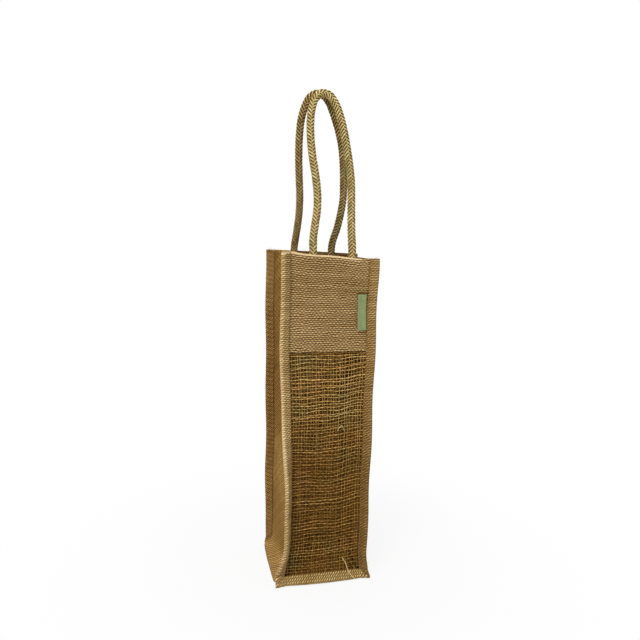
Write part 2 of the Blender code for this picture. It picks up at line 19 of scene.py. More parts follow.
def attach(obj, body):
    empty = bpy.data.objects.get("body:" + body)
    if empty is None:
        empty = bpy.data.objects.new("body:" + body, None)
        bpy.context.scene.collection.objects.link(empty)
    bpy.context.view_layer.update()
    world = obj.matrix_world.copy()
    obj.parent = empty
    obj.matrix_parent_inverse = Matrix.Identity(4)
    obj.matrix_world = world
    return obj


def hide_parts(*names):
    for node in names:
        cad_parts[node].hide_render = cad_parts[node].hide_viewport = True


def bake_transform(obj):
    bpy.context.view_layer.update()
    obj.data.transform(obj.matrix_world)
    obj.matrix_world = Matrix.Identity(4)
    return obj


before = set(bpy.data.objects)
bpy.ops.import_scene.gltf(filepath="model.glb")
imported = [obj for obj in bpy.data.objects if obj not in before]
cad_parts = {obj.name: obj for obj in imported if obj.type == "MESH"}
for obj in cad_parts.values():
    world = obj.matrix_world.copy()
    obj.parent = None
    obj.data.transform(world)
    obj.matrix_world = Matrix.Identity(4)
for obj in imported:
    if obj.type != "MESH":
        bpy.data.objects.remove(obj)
LOG = logging.getLogger("gift_bag")
Grid = np.ndarray
Pair = tuple[float, float]
Triple = tuple[float, float, float]
Table = tuple[tuple[float, ...], tuple[float, ...]]


class Slot(Enum):
    """The record's material slots."""

    PANEL = "panel_cloth"
    GUSSET = "gusset_cloth"
    NET = "net_twine"
    BINDING = "binding_cloth"
    ROPE = "rope"
    LABEL = "label_ribbon"


class Body(Enum):
    """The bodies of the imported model."""

    BAG = "bag"
    FRONT_LOOP = "front_loop"
    BACK_LOOP = "back_loop"


def rising(at: Grid, start: float, end: float) -> Grid:
    """Return a smooth step, 0 before its start and 1 past its end, which may lie below it."""
    share = np.clip((at - start) / (end - start), 0.0, 1.0)
    return share * share * (3.0 - 2.0 * share)


def ridge(at: Grid, middle: float, width: float) -> Grid:
    """Return a smooth ridge, 1 at its middle."""
    return np.exp(-((at - middle) / width) ** 2)


def through(places: tuple[float, ...], values: tuple[float, ...], at: Grid) -> Grid:
    """Read a smooth curve through a table.

    Args:
        places: Where the table has its entries, rising.
        values: The entries.
        at: Where the curve is read.

    Returns:
        The curve's values.
    """
    known, entries = np.array(places), np.array(values)
    slopes = np.gradient(entries, known)
    left = np.clip(np.searchsorted(known, at) - 1, 0, len(known) - 2)
    span = known[left + 1] - known[left]
    share = np.clip((at - known[left]) / span, 0.0, 1.0)
    square, cube = share ** 2, share ** 3
    return (
        (2 * cube - 3 * square + 1) * entries[left]
        + (cube - 2 * square + share) * span * slopes[left]
        + (3 * square - 2 * cube) * entries[left + 1]
        + (cube - square) * span * slopes[left + 1]
    )


def stacked(*parts: Grid) -> Grid:
    """Join coordinates of any matching shapes into points."""
    return np.stack(np.broadcast_arrays(*parts), axis=-1).astype(float)


def unit(vectors: Grid) -> Grid:
    """Return vectors scaled to a length of one."""
    return vectors / np.maximum(np.linalg.norm(vectors, axis=-1, keepdims=True), 1e-12)


def run_along(points: Grid) -> Grid:
    """Return the distance along a path at each of its points."""
    return np.concatenate(((0.0,), np.cumsum(np.linalg.norm(np.diff(points, axis=0), axis=1))))


def steps(start: float, end: float, pitch: float) -> Grid:
    """Return evenly spaced places from start to end, about a pitch apart."""
    return np.linspace(start, end, max(2, round(abs(end - start) / pitch) + 1))


def soften(grid: Grid, passes: int) -> Grid:
    """Round the folds of a grid by averaging neighbours, with its borders held.

    Args:
        grid: The points in rows.
        passes: How many times the neighbours are averaged.

    Returns:
        The rounded points.
    """
    for _ in range(passes):
        grid = grid.copy()
        grid[1:-1] = (grid[:-2] + 2 * grid[1:-1] + grid[2:]) / 4
        grid[:, 1:-1] = (grid[:, :-2] + 2 * grid[:, 1:-1] + grid[:, 2:]) / 4
    return grid


def facing(grid: Grid, towards: Triple) -> Grid:
    """Find a surface's unit normals, turned so that its middle faces a given way.

    Args:
        grid: The surface's points in rows.
        towards: The way that its middle faces.

    Returns:
        The normals.
    """
    across, up = np.gradient(grid, axis=1), np.gradient(grid, axis=0)
    normals = unit(np.cross(across, up))
    sample = normals[len(grid) // 2, grid.shape[1] // 2]
    return normals if sample @ np.array(towards) > 0 else -normals


def strand_wave(form: Triple, along: Grid, index: int) -> Grid:
    """Return a wave along a strand, with a given size, pitch and shift from strand to strand."""
    size, pitch, shift = form
    return size * np.sin(pitch * along + shift * index)


def waves(z: Grid, other: Grid, form: tuple[float, ...]) -> Grid:
    """Return two crossed waves up the bag and along another of its directions.

    Args:
        z: The height.
        other: The place in the other direction.
        form: The first wave's pitch up the bag, its start and its pitch across, and then the
            second wave's share and its two pitches, pitches in radians for each metre.

    Returns:
        The height of the waves, from about -1.5 to 1.5.
    """
    up, start, across, share, next_up, next_across = form
    first = np.sin(up * z + start) * np.cos(across * other)
    return first + share * np.sin(next_up * z + next_across * other)


@dataclass(frozen=True)
class CornerSeam:
    """One upright seam of the bag, with the flange that stands out of it.

    The tip is the run from the seam's foot to the tip of its mitre, for one flange width. The
    turn is the flange's angle from the line of the front, in degrees, and the pull is how far
    the cloth is drawn in towards the middle of the bag, in metres, both up the height.
    """

    side_x: int
    side_y: int
    tip: Triple
    heights: tuple[float, ...]
    turns: tuple[float, ...]
    pulls: tuple[float, ...]

    def turn(self, height: Grid) -> Grid:
        """Return the flange's angle at a height, in radians."""
        return np.radians(through(self.heights, self.turns, height))

    def pull(self, height: Grid) -> Grid:
        """Return how far the seam is drawn in at a height."""
        return through(self.heights, self.pulls, height)

    def reach(self, height: Grid) -> Grid:
        """Return the unit run of the flange at a height."""
        turn = self.turn(height)
        return stacked(self.side_x * np.cos(turn), self.side_y * np.sin(turn), 0.0)


@dataclass(frozen=True)
class BagForm:
    """The bag's shape as the middle surfaces of its panels, seams and flanges."""

    half: float = 0.04025
    height: float = 0.350
    window_top: float = 0.250
    hem_edge: float = 0.312
    seam_level: float = 0.0097
    corner_step: float = 0.003
    flange: float = 0.0096
    base_turn: float = math.radians(45)
    base_bow: float = 0.0016
    base_ramps: Pair = (0.013, 0.013)
    fold_ramps: Pair = (0.0015, 0.024)
    floor_level: float = 0.0013
    flare_height: float = 0.0241
    flare_rise: float = 0.22
    flare_reach: float = 0.0122
    flare_ramps: Pair = (0.0015, 0.004)
    crease_slope: float = 0.22
    crease_foot: float = 0.1263
    crease_rise: float = 0.168
    bulge: float = 0.0012
    bulge_height: float = 0.15
    under: float = 0.0032
    under_drop: float = 0.0008
    wave: float = 0.0008
    wave_limit: float = 1.2
    ripple: tuple[float, ...] = (37.0, 1.3, 31.0, 0.6, 71.0, -55.0)
    sway: tuple[float, ...] = (29.0, 0.4, 33.0, 0.5, 64.0, 47.0)
    still_height: float = 0.090
    sag_foot: float = 0.285
    sag_depths: Pair = (0.045, -0.045)
    sag_places: tuple[float, ...] = (-0.050, -0.040, -0.030, -0.020, 0.0, 0.015, 0.030, 0.047)
    front_sag: tuple[float, ...] = (
        -0.0007, -0.0016, 0.0002, 0.0012, 0.0020, 0.0033, 0.0047, 0.0043)
    back_sag: tuple[float, ...] = (-0.0008, -0.0006, -0.0003, 0.0, 0.0005, 0.0010, 0.0016, 0.0022)
    seams: tuple[CornerSeam, ...] = (
        CornerSeam(
            -1, -1, (-0.0102, -0.0082, -0.0072),
            (0.0, 0.010, 0.018, 0.027, 0.038, 0.060, 0.082, 0.104, 0.121, 0.142, 0.158, 0.169,
             0.201, 0.251, 0.304, 0.350),
            (6, 8, 34, 52, 60, 62, 58, 59, 52, 41, 31, 22, 18, 21, 28, 35),
            (0.0, 0.0, 0.0002, 0.0008, 0.0026, 0.0035, 0.0037, 0.0034, 0.0036, 0.0039, 0.0040,
             0.0040, 0.0028, 0.0012, 0.0003, 0.0),
        ),
        CornerSeam(
            1, -1, (0.0092, -0.0078, -0.0071),
            (0.0, 0.010, 0.024, 0.049, 0.090, 0.170, 0.250, 0.304, 0.335, 0.350),
            (45, 45, 57, 54, 49, 45, 41, 42, 22, 12),
            (0.0, 0.0, 0.0008, 0.0012, 0.0012, 0.0010, 0.0006, 0.0, 0.0, 0.0),
        ),
        CornerSeam(
            -1, 1, (-0.0081, 0.0077, -0.0071),
            (0.0, 0.010, 0.020, 0.050, 0.100, 0.150, 0.200, 0.250, 0.300, 0.350),
            (45, 45, 42, 34, 22, 15, 14, 13, 13, 13),
            (0.0, 0.0, 0.0, 0.0, 0.0, 0.0, -0.0004, -0.0009, -0.0014, -0.0019),
        ),
        CornerSeam(
            1, 1, (0.0082, 0.0077, -0.0071),
            (0.0, 0.010, 0.060, 0.140, 0.220, 0.290, 0.350),
            (45, 45, 50, 40, 34, 20, 12),
            (0.0, 0.0, 0.0008, 0.0010, 0.0, -0.0012, -0.0021),
        ),
    )

    def seam(self, side_x: int, side_y: int) -> CornerSeam:
        """Return the seam of one corner."""
        return next(s for s in self.seams if (s.side_x, s.side_y) == (side_x, side_y))

    def root(self, seam: CornerSeam, heights: Grid) -> Grid:
        """Return points along a corner's seam, which is the root of its flange."""
        out = self.half - seam.pull(heights)
        return stacked(seam.side_x * out, seam.side_y * self.half, heights)

    def base_reach(self, side_y: int, across: Grid) -> Grid:
        """Return the run of a bottom flange for one flange width, bowed in mid length."""
        drop = self.flange * math.sin(self.base_turn)
        return stacked(
            0.0, side_y * (drop + self.base_bow * (1.0 - (across / self.half) ** 2)), -drop)

    def mitre_reach(self, side_x: Grid | int, side_y: Grid | int) -> Grid:
        """Find the run from each bottom corner's seam to the tip of its mitre.

        Args:
            side_x: Below 0 for the left corners and above it for the right ones.
            side_y: Below 0 for the front corners and above it for the back ones.

        Returns:
            The runs, and no run where a side is 0.
        """
        side_x, side_y = np.broadcast_arrays(side_x, side_y)
        reach = np.zeros((*side_x.shape, 3))
        for seam in self.seams:
            reach[(np.sign(side_x) == seam.side_x) & (np.sign(side_y) == seam.side_y)] = seam.tip
        return reach

    def panel(self, side_y: int, across: Grid, ups: Grid) -> Grid:
        """Return the front's or back's middle surface in rows up the panel."""
        return self.panel_points(side_y, *np.meshgrid(across, ups))

    def panel_points(self, side_y: int, across: Grid, ups: Grid) -> Grid:
        """Find points of the front's or back's middle surface.

        Args:
            side_y: -1 for the front and 1 for the back.
            across: Places across the panel, running past the seams into the flanges.
            ups: Places up from the bottom seam, running below 0 into the bottom flange.

        Returns:
            A point for each pair of places.
        """
        inside = np.clip(across, -self.half, self.half)
        level = self.seam_level + np.maximum(ups, 0.0)
        left, right = self.seam(-1, side_y), self.seam(1, side_y)
        share = (inside / self.half + 1.0) / 2.0
        x = inside + (1.0 - share) * left.pull(level) - share * right.pull(level)
        on_left = across < 0
        side = self.flange * np.where(on_left[..., None], left.reach(level), right.reach(level))
        low = self.base_reach(side_y, inside)
        beyond = (np.abs(across - inside) / self.flange)[..., None]
        below = (np.maximum(-ups, 0.0) / self.flange)[..., None]
        corner = self.mitre_reach(np.where(on_left, -1.0, 1.0), side_y) - side - low
        seam = stacked(x, side_y * self.half, level)
        return seam + beyond * side + below * low + beyond * below * corner

    def ramp(self, along: Grid, ramps: Pair) -> Grid:
        """Return a share that rises from 0 at the seams to 1 over a front and a back ramp."""
        return np.minimum(1.0, (self.half - np.abs(along)) / np.where(along < 0, *ramps))

    def base_level(self, along: Grid, ramps: Pair) -> Grid:
        """Return the height of the bottom, which rises to its seams over two ramps."""
        return self.seam_level - (self.seam_level - self.floor_level) * self.ramp(along, ramps)

    def fold(self, side_x: int, along: Grid) -> Grid:
        """Find the line where a gusset meets the bottom, with the tips of its mitres.

        Args:
            side_x: -1 for the left and 1 for the right.
            along: Places from front to back, running past the seams into the flanges.

        Returns:
            A point for each place.
        """
        inside = np.clip(along, -self.half, self.half)
        beyond = (np.abs(along - inside) / self.flange)[..., None]
        out = side_x * (self.half + self.flare_reach * self.ramp(inside, self.flare_ramps))
        tips = self.mitre_reach(side_x, np.sign(along))
        return stacked(out, inside, self.base_level(inside, self.fold_ramps)) + beyond * tips

    def gusset(self, side_x: int, along: Grid, heights: Grid) -> Grid:
        """Lay out a gusset's middle surface.

        Args:
            side_x: -1 for the left and 1 for the right.
            along: Places from front to back, running past the seams into the flanges.
            heights: Places up from the fold at the floor, and below 0 turned in under it.

        Returns:
            Points in rows up the gusset.
        """
        first = self.seam_level + self.corner_step
        along, heights = np.meshgrid(along, heights)
        inside = np.clip(along, -self.half, self.half)
        level = np.maximum(heights, first)
        near = 1.0 - np.abs(inside) / self.half
        crease = np.minimum(self.crease_slope * self.half * near,
                            self.crease_rise * np.maximum(level - self.crease_foot, 0.0))
        belly = np.sin(math.pi * np.minimum(level / self.bulge_height, 1.0))
        crease -= self.bulge * np.sqrt(near) * belly
        fall = np.maximum(0.0, 1.0 - level / (self.flare_height - self.flare_rise * inside))
        front, back = self.seam(side_x, -1), self.seam(side_x, 1)
        pull = np.where(inside < 0, front.pull(level), back.pull(level)) * (1.0 - near) ** 2
        flare = self.flare_reach * fall * self.ramp(inside, self.flare_ramps)
        side = np.where((along < 0)[..., None], front.reach(level), back.reach(level))
        upper = stacked(side_x * (self.half + flare - crease - pull), inside, level)
        upper += np.abs(along - inside)[..., None] * side
        lower = self.fold(side_x, along)
        turned_in = np.maximum(-heights, 0.0)
        lower[..., 0] -= side_x * turned_in
        lower[..., 2] -= np.minimum(turned_in, self.under_drop)
        share = np.clip(1.0 - heights / first, 0.0, 1.0)[..., None]
        return (1.0 - share) * upper + share * lower

    def bottom(self, across: Grid, along: Grid) -> Grid:
        """Lay out the bottom's middle surface, with its flanges at front and back.

        Args:
            across: Places from the left seam to the right one.
            along: Places from front to back, running past the seams into the flanges.

        Returns:
            Points in rows across the bottom.
        """
        across, along = np.meshgrid(across, along, indexing="ij")
        inside = np.clip(along, -self.half, self.half)
        inner = self.half - self.corner_step
        middle = np.clip(across, -inner, inner)
        beyond = (np.abs(along - inside) / self.flange)[..., None]
        flat = stacked(middle, inside, self.base_level(inside, self.base_ramps))
        flat = flat + beyond * self.base_reach(1, middle) * stacked(1.0, np.sign(along), 1.0)
        edge = np.where((across < 0)[..., None], self.fold(-1, along), self.fold(1, along))
        share = (np.abs(across - middle) / self.corner_step)[..., None]
        return (1.0 - share) * flat + share * edge

    def settle(self, points: Grid) -> Grid:
        """Give points the bag's soft sag and waves, which are the same for every layer there.

        Args:
            points: Points of the unsettled bag.

        Returns:
            The settled points.
        """
        x, y, z = points[..., 0], points[..., 1], points[..., 2]
        front = rising(y, *self.sag_depths)
        sag = front * through(self.sag_places, self.front_sag, x)
        sag += (1.0 - front) * through(self.sag_places, self.back_sag, x)
        sag *= rising(z, self.sag_foot, self.height)
        wave = self.wave * rising(z, 0.0, self.still_height)
        moved = points.copy()
        for axis, other, form in ((0, y, self.sway), (1, x, self.ripple)):
            side = np.clip(points[..., axis] / self.half, -self.wave_limit, self.wave_limit)
            moved[..., axis] += wave * waves(z, other, form) * side
        moved[..., 2] -= sag
        return moved


FORM = BagForm()


class Wire:
    """An output of a node, which arithmetic can be written with."""

    def __init__(self, bench: "Bench", node: bpy.types.Node, socket: bpy.types.NodeSocket) -> None:
        """Hold an output, its node and the bench that built it."""
        self.bench, self.node, self.socket = bench, node, socket

    def __getitem__(self, name: int | str) -> "Wire":
        """Return another output of the same node."""
        return Wire(self.bench, self.node, self.node.outputs[name])

    def __add__(self, other: "Wire | float") -> "Wire":
        """Return the sum."""
        return self.bench.maths("ADD", self, other)

    def __sub__(self, other: "Wire | float") -> "Wire":
        """Return the difference."""
        return self.bench.maths("SUBTRACT", self, other)

    def __rsub__(self, other: float) -> "Wire":
        """Return the difference from a number."""
        return self.bench.maths("SUBTRACT", other, self)

    def __mul__(self, other: "Wire | float") -> "Wire":
        """Return the product."""
        return self.bench.maths("MULTIPLY", self, other)


Value = Wire | float | Triple


class Bench:
    """A few short words for building node trees."""

    def __init__(self, tree: bpy.types.NodeTree) -> None:
        """Work on one tree."""
        self.tree = tree

    def add(self, kind: str, values: dict | None = None, **settings: object) -> Wire | None:
        """Add a node.

        Args:
            kind: The node's type.
            values: Its inputs by name, or by place among those in use, each a wire or a constant.
            settings: Its own properties.

        Returns:
            Its first output in use, if it has one.
        """
        node = self.tree.nodes.new(kind)
        for name, value in settings.items():
            setattr(node, name, value)
        used = [socket for socket in node.inputs if socket.enabled]
        for name, value in (values or {}).items():
            by_place = isinstance(name, int)
            self.feed(used[name] if by_place else next(s for s in used if s.name == name), value)
        shown = [socket for socket in node.outputs if socket.enabled]
        return Wire(self, node, shown[0]) if shown else None

    def feed(self, socket: bpy.types.NodeSocket, value: object) -> None:
        """Feed an input.

        Args:
            socket: The input.
            value: A wire that is linked to it, or a constant, where a colour has no alpha.
        """
        if isinstance(value, Wire):
            self.tree.links.new(value.socket, socket)
        else:
            socket.default_value = (*value, 1.0) if socket.type == "RGBA" else value

    def maths(self, operation: str, *values: Wire | float) -> Wire:
        """Return the result of a maths node."""
        return self.add("ShaderNodeMath", dict(enumerate(values)), operation=operation)

    def blend(self, share: Value, start: Value, end: Value) -> Wire:
        """Return a mix of two colours."""
        return self.add("ShaderNodeMix", {0: share, 1: start, 2: end}, data_type="RGBA")

    def noise(self, place: Wire, scale: float, detail: float = 2.0) -> Wire:
        """Return a noise from 0 to 1."""
        return self.add("ShaderNodeTexNoise", {"Vector": place, "Scale": scale, "Detail": detail})

    def rising(self, at: Wire, span: Pair, low: float = 0.0, high: float = 1.0) -> Wire:
        """Return a smooth step over a span, from a low value to a high one."""
        return self.add("ShaderNodeMapRange", {
            "Value": at, "From Min": span[0], "From Max": span[1], "To Min": low, "To Max": high,
        }, interpolation_type="SMOOTHSTEP")

    def split(self, vector: Wire) -> Wire:
        """Return a vector's parts, as outputs 0 to 2 of one node."""
        return self.add("ShaderNodeSeparateXYZ", {0: vector})

    def join(self, *parts: Value) -> Wire:
        """Return a vector of three parts."""
        return self.add("ShaderNodeCombineXYZ", dict(enumerate(parts)))

    def place(self) -> Wire:
        """Return the place on the object."""
        return self.add("ShaderNodeTexCoord")["Object"]

    def stored(self, name: str, output: str) -> Wire:
        """Return an attribute that is stored on the piece."""
        return self.add("ShaderNodeAttribute", attribute_name=name)[output]


@dataclass(frozen=True)
class Finish:
    """What every finish of the bag has: a fibre's colours, and how rough it is."""

    name: str
    light: Triple
    deep: Triple
    roughness: float = 0.88
    sheen: float = 0.06
    sheen_roughness: float = 0.6
    specular: float = 0.08
    depth: float = 0.00050
    green_fall: float = 1.25
    blue_fall: float = 1.8

    def material(self) -> bpy.types.Material:
        """Build the material.

        Returns:
            The material, which is made of nodes alone.
        """
        material = bpy.data.materials.new(self.name)
        material.use_nodes = True
        bench = Bench(material.node_tree)
        colour, height = self.look(bench)
        bump = bench.add("ShaderNodeBump", {
            "Strength": 1.0, "Distance": self.depth, "Height": height})
        inputs = material.node_tree.nodes["Principled BSDF"].inputs
        for name, value in (
            ("Base Color", colour), ("Normal", bump), ("Roughness", self.roughness),
            ("Specular IOR Level", self.specular), ("Sheen Weight", self.sheen),
            ("Sheen Roughness", self.sheen_roughness), ("Sheen Tint", self.light),
        ):
            bench.feed(inputs[name], value)
        return material

    def look(self, bench: Bench) -> tuple[Wire, Wire]:
        """Return the surface's colour and its height, from 0 to 1."""
        raise NotImplementedError

    def shaded(self, bench: Bench, colour: Wire) -> Wire:
        """Scale a colour by the piece's stored share of tone and painted light and shade; warm it
        where low.

        Args:
            bench: The material's bench.
            colour: The full colour.

        Returns:
            The colour as it is shown.
        """
        share = bench.stored("shade", "Fac")
        # Painted shade: a low share also warms the colour, as shade does among brown cloth.
        warm = bench.join(share, bench.maths("POWER", share, self.green_fall),
                          bench.maths("POWER", share, self.blue_fall))
        return bench.add("ShaderNodeVectorMath", {0: colour, 1: warm}, operation="MULTIPLY")


@dataclass(frozen=True)
class WovenJute(Finish):
    """Plain-woven jute, drawn thread by thread from the piece's own map of threads.

    A yarn's form is its middle height, how much it rises and dips from it, and how sharply its
    sides fall away.
    """

    # Painted shade: the colour of the shaded gaps between the yarns.
    gap: Triple = (0.030, 0.013, 0.002)
    # Painted highlight: the pale cream that the lit top edge of the rim turns to.
    worn: Triple = (0.84, 0.62, 0.34)
    weft: Triple = (0.79, 0.20, 3.6)
    warp: Triple = (0.32, 0.28, 4.0)
    hatch: float = 0.0
    skew: float = 0.0
    coarse: float = 1.0
    stray: float = 1.5
    stray_scale: float = 150.0
    fibre_scale: float = 1300.0
    blotch_scale: float = 34.0
    yarn_tint: float = 0.42
    blotches: float = 0.70
    fibres: float = 0.60
    tone_drop: float = 0.30
    rough_fibres: float = 0.30
    lit_heights: Pair = (0.25, 0.92)
    grazed: float = 0.55
    grazing: Pair = (0.62, 0.86)
    highlight_start: float = 1.5
    highlight_rate: float = 4.0
    highlight_limit: float = 0.8
    first_column: float = 400.0

    def look(self, bench: Bench) -> tuple[Wire, Wire]:
        """Weave the surface.

        Args:
            bench: The material's bench.

        Returns:
            Its colour and its height.
        """
        place = bench.place()
        threads = bench.split(bench.add("ShaderNodeUVMap", uv_map="threads"))
        shift = (bench.noise(place, self.stray_scale) - 0.5) * self.stray
        x = threads[0] * self.coarse + shift
        y = x * self.skew + (threads[1] * self.coarse - shift)
        column, row = bench.maths("FLOOR", x), bench.maths("FLOOR", y)
        weft = self.yarn(x, y, self.slanted(y, row), 0.5, self.weft)
        warp = self.yarn(y, x, self.slanted(x, column), -0.5, self.warp)
        height = bench.maths("MAXIMUM", bench.maths("MAXIMUM", weft, warp), 0.0)
        over = bench.maths("GREATER_THAN", warp, weft)
        number = row + over * (column + self.first_column - row)
        tint = bench.add("ShaderNodeTexWhiteNoise", {"W": number}, noise_dimensions="1D")
        fibre = bench.noise(place, self.fibre_scale)
        tone = tint * self.yarn_tint + bench.noise(place, self.blotch_scale, 3.0) * self.blotches
        tone = tone + fibre * self.fibres - self.tone_drop
        straw = bench.blend(tone, self.deep, self.light)
        # Painted shade: the weave's low parts darken to the gap colour, less so at glancing views.
        slant = bench.add("ShaderNodeLayerWeight", {"Blend": 0.5})["Facing"]
        shown = bench.maths("MAXIMUM", bench.rising(height, self.lit_heights),
                            bench.rising(slant, self.grazing, 0.0, self.grazed))
        colour = self.shaded(bench, bench.blend(shown, self.gap, straw))
        # Painted highlight: past its start the stored share turns the colour pale cream, for the
        # lit rim edge.
        worn = (bench.stored("shade", "Fac") - self.highlight_start) * self.highlight_rate
        colour = bench.blend(bench.maths("MINIMUM", worn, self.highlight_limit), colour, self.worn)
        return colour, height + fibre * self.rough_fibres

    def slanted(self, place: Wire, number: Wire) -> Wire:
        """Return a yarn's number, partly turned into a slanting run of the crossings."""
        return (place - 0.5 - number) * self.hatch + number

    @staticmethod
    def yarn(along: Wire, across: Wire, number: Wire, shift: float, form: Triple) -> Wire:
        """Raise one set of yarns, which rise and dip at every second crossing.

        Args:
            along: The place along the yarns, in threads.
            across: The place across them.
            number: The number of the yarn there.
            shift: Half a thread to either side, so that the two sets take turns.
            form: The yarns' form.

        Returns:
            The height, from below 0 to 1.
        """
        bench = along.bench
        middle, swing, narrow = form
        wave = bench.maths("COSINE", (along + number - shift) * math.pi) * swing + middle
        offset = bench.maths("FRACT", across) - 0.5
        return (1.0 - offset * offset * narrow) * wave


@dataclass(frozen=True)
class SpunJute(Finish):
    """Spun jute yarn or rope strand, with fibres along it and painted shade on its sides where it
    turns in.
    """

    depth: float = 0.00025
    # Painted shade: how deep the strands' sides darken, over which part of them, and to what
    # colour.
    shade: float = 0.5
    flank_shade: Pair = (0.1, 0.9)
    gap: Triple = (0.05, 0.028, 0.008)
    patch: Triple = (0.42, 0.37, 0.15)
    blush: Triple = (0.62, 0.37, 0.19)
    streak: float = 2.4
    streak_scale: float = 2.2
    streak_share: float = 1.5
    blotch_scale: float = 90.0
    blotch_share: float = 1.2
    tone_drop: float = 0.85
    patch_scale: float = 38.0
    patch_rise: Pair = (2.4, -1.0)
    patch_share: float = 0.9
    blush_rise: Pair = (-4.0, 1.75)

    def look(self, bench: Bench) -> tuple[Wire, Wire]:
        """Spin the surface.

        Args:
            bench: The material's bench.

        Returns:
            Its colour and its height.
        """
        place = bench.place()
        lay = bench.split(bench.stored("lay", "Vector"))
        drawn_out = bench.join(lay[0] * self.streak, lay[1] * self.streak, lay[2])
        streak = bench.noise(drawn_out, self.streak_scale, 3.0)
        blotch = bench.noise(place, self.blotch_scale) * self.blotch_share
        tone = streak * self.streak_share + (blotch - self.tone_drop)
        patches = bench.noise(place, self.patch_scale)
        patch = bench.maths("MAXIMUM", patches * self.patch_rise[0] + self.patch_rise[1], 0.0)
        colour = bench.blend(tone, self.deep, self.light)
        colour = bench.blend(patch * self.patch_share, colour, self.patch)
        blush = patches * self.blush_rise[0] + self.blush_rise[1]
        colour = bench.blend(blush, colour, self.blush)
        # Painted shade on the strand's sides, away from its crest.
        crest = bench.rising(lay[0], self.flank_shade, 1.0 - self.shade)
        return self.shaded(bench, bench.blend(crest, self.gap, colour)), streak


@dataclass(frozen=True)
class WovenRibbon(Finish):
    """A smooth narrow ribbon with fine ribs across it."""

    roughness: float = 0.5
    sheen: float = 0.1
    depth: float = 0.00006
    ribs_up: float = 5200.0
    ribs_across: float = 8060.0
    blotch_scale: float = 160.0
    rib_share: float = 0.12

    def look(self, bench: Bench) -> tuple[Wire, Wire]:
        """Weave the ribbon.

        Args:
            bench: The material's bench.

        Returns:
            Its colour and its height.
        """
        place = bench.place()
        parts = bench.split(place)
        ribs = bench.maths("SINE", parts[2] * self.ribs_up)
        height = (ribs + bench.maths("SINE", parts[0] * self.ribs_across)) * 0.5
        tone = bench.noise(place, self.blotch_scale, 3.0) + height * self.rib_share
        return bench.blend(tone, self.deep, self.light), height


class Look(Enum):
    """The bag's finishes."""

    PANEL = WovenJute("panel_jute", (0.80, 0.54, 0.245), (0.34, 0.185, 0.045))
    # Painted shade: a warmer copy of the jute on every inner face, for the shade and bounce light
    # inside the bag.
    INNER_SHADE = WovenJute("inner_jute_painted_shade", (1.0, 0.56, 0.14), (0.48, 0.23, 0.025))
    # Partly painted shade: a browner jute than the panel's, for the sides' own colour and for the
    # shade they stand in.
    GUSSET = WovenJute("gusset_jute", (0.88, 0.51, 0.155), (0.34, 0.17, 0.028), skew=0.62,
                       coarse=0.85, stray=0.3, grazed=0.1)
    BINDING = WovenJute("binding_jute", (0.84, 0.55, 0.22), (0.35, 0.19, 0.045), hatch=0.75,
                        stray=0.6)
    # Partly painted light: lighter colours than the side strips', for the bottom strips that face
    # up to the light.
    STRIP = WovenJute("base_binding_lit_jute", (0.88, 0.62, 0.26), (0.44, 0.26, 0.07), hatch=0.3,
                      stray=0.6)
    # Painted shade: a darker jute for the back strips, which stand in the bag's shade.
    SHADE = WovenJute("back_binding_shaded_jute", (0.78, 0.45, 0.15), (0.28, 0.145, 0.034), skew=0.8,
                      coarse=0.75, stray=0.3)
    TWINE = SpunJute("net_jute", (0.92, 0.54, 0.18), (0.40, 0.21, 0.04), shade=0.55)
    ROPE = SpunJute("rope_jute", (0.96, 0.75, 0.33), (0.46, 0.32, 0.10), shade=0.95,
                    flank_shade=(0.62, 0.92), gap=(0.095, 0.058, 0.015))
    # Painted shade: a darker copy of the rope jute for the back rope, which stands behind the front
    # one.
    SHADED_BACK_ROPE = SpunJute("back_rope_shaded_jute", (0.74, 0.52, 0.20), (0.28, 0.17, 0.045), shade=0.95,
                         flank_shade=(0.64, 0.93), gap=(0.045, 0.025, 0.006))
    THREAD = SpunJute("sewing_thread", (0.42, 0.29, 0.13), (0.26, 0.17, 0.07), shade=0.3)
    FIBRE = SpunJute("loose_fibre", (0.90, 0.70, 0.34), (0.66, 0.47, 0.20), shade=0.0)
    LABEL = WovenRibbon("label_satin", (0.30, 0.36, 0.165), (0.19, 0.235, 0.10))


Wardrobe = dict[Look, bpy.types.Material]


def link(name: str, data: bpy.types.ID) -> bpy.types.Object:
    """Put a mesh, a camera or a lamp in the scene as an object at the origin."""
    thing = bpy.data.objects.new(name, data)
    bpy.context.scene.collection.objects.link(thing)
    return thing


def put_on_bag(piece: bpy.types.Object, slot: Slot, *nodes: str) -> bpy.types.Object:
    """Let a piece ride on the bag, and report it.

    Args:
        piece: The piece.
        slot: Its slot in the record, not used.
        nodes: The model's nodes that it replaces.

    Returns:
        The piece.
    """
    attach(piece, Body.BAG.value)
    if nodes:
        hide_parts(*nodes)
    LOG.info("%s: %d faces", piece.name, len(piece.data.polygons))
    return piece


def mesh_of(
    name: str, points: Grid, faces: Grid, threads: Grid | None = None, shade: Grid | None = None,
) -> bpy.types.Object:
    """Make a smooth-shaded mesh object of the points that its faces use.

    Args:
        name: The object's name.
        points: The points.
        faces: Quads, as places in the list of points.
        threads: Each point's place in the map of threads.
        shade: Each point's share of full colour, which carries tone and painted light and shade.

    Returns:
        The object.
    """
    used, flat = np.unique(faces, return_inverse=True)
    mesh = bpy.data.meshes.new(name)
    mesh.from_pydata(points[used].tolist(), [], flat.reshape(faces.shape).tolist())
    if threads is not None:
        layer = mesh.uv_layers.new(name="threads")
        corners = np.empty(len(mesh.loops), dtype=np.int32)
        mesh.loops.foreach_get("vertex_index", corners)
        layer.data.foreach_set("uv", threads[used][corners].astype(np.float32).ravel())
    if shade is not None:
        kept = mesh.attributes.new("shade", "FLOAT", "POINT")
        kept.data.foreach_set("value", shade[used].astype(np.float32))
    mesh.polygons.foreach_set("use_smooth", np.ones(len(mesh.polygons), dtype=bool))
    mesh.update()
    return link(name, mesh)


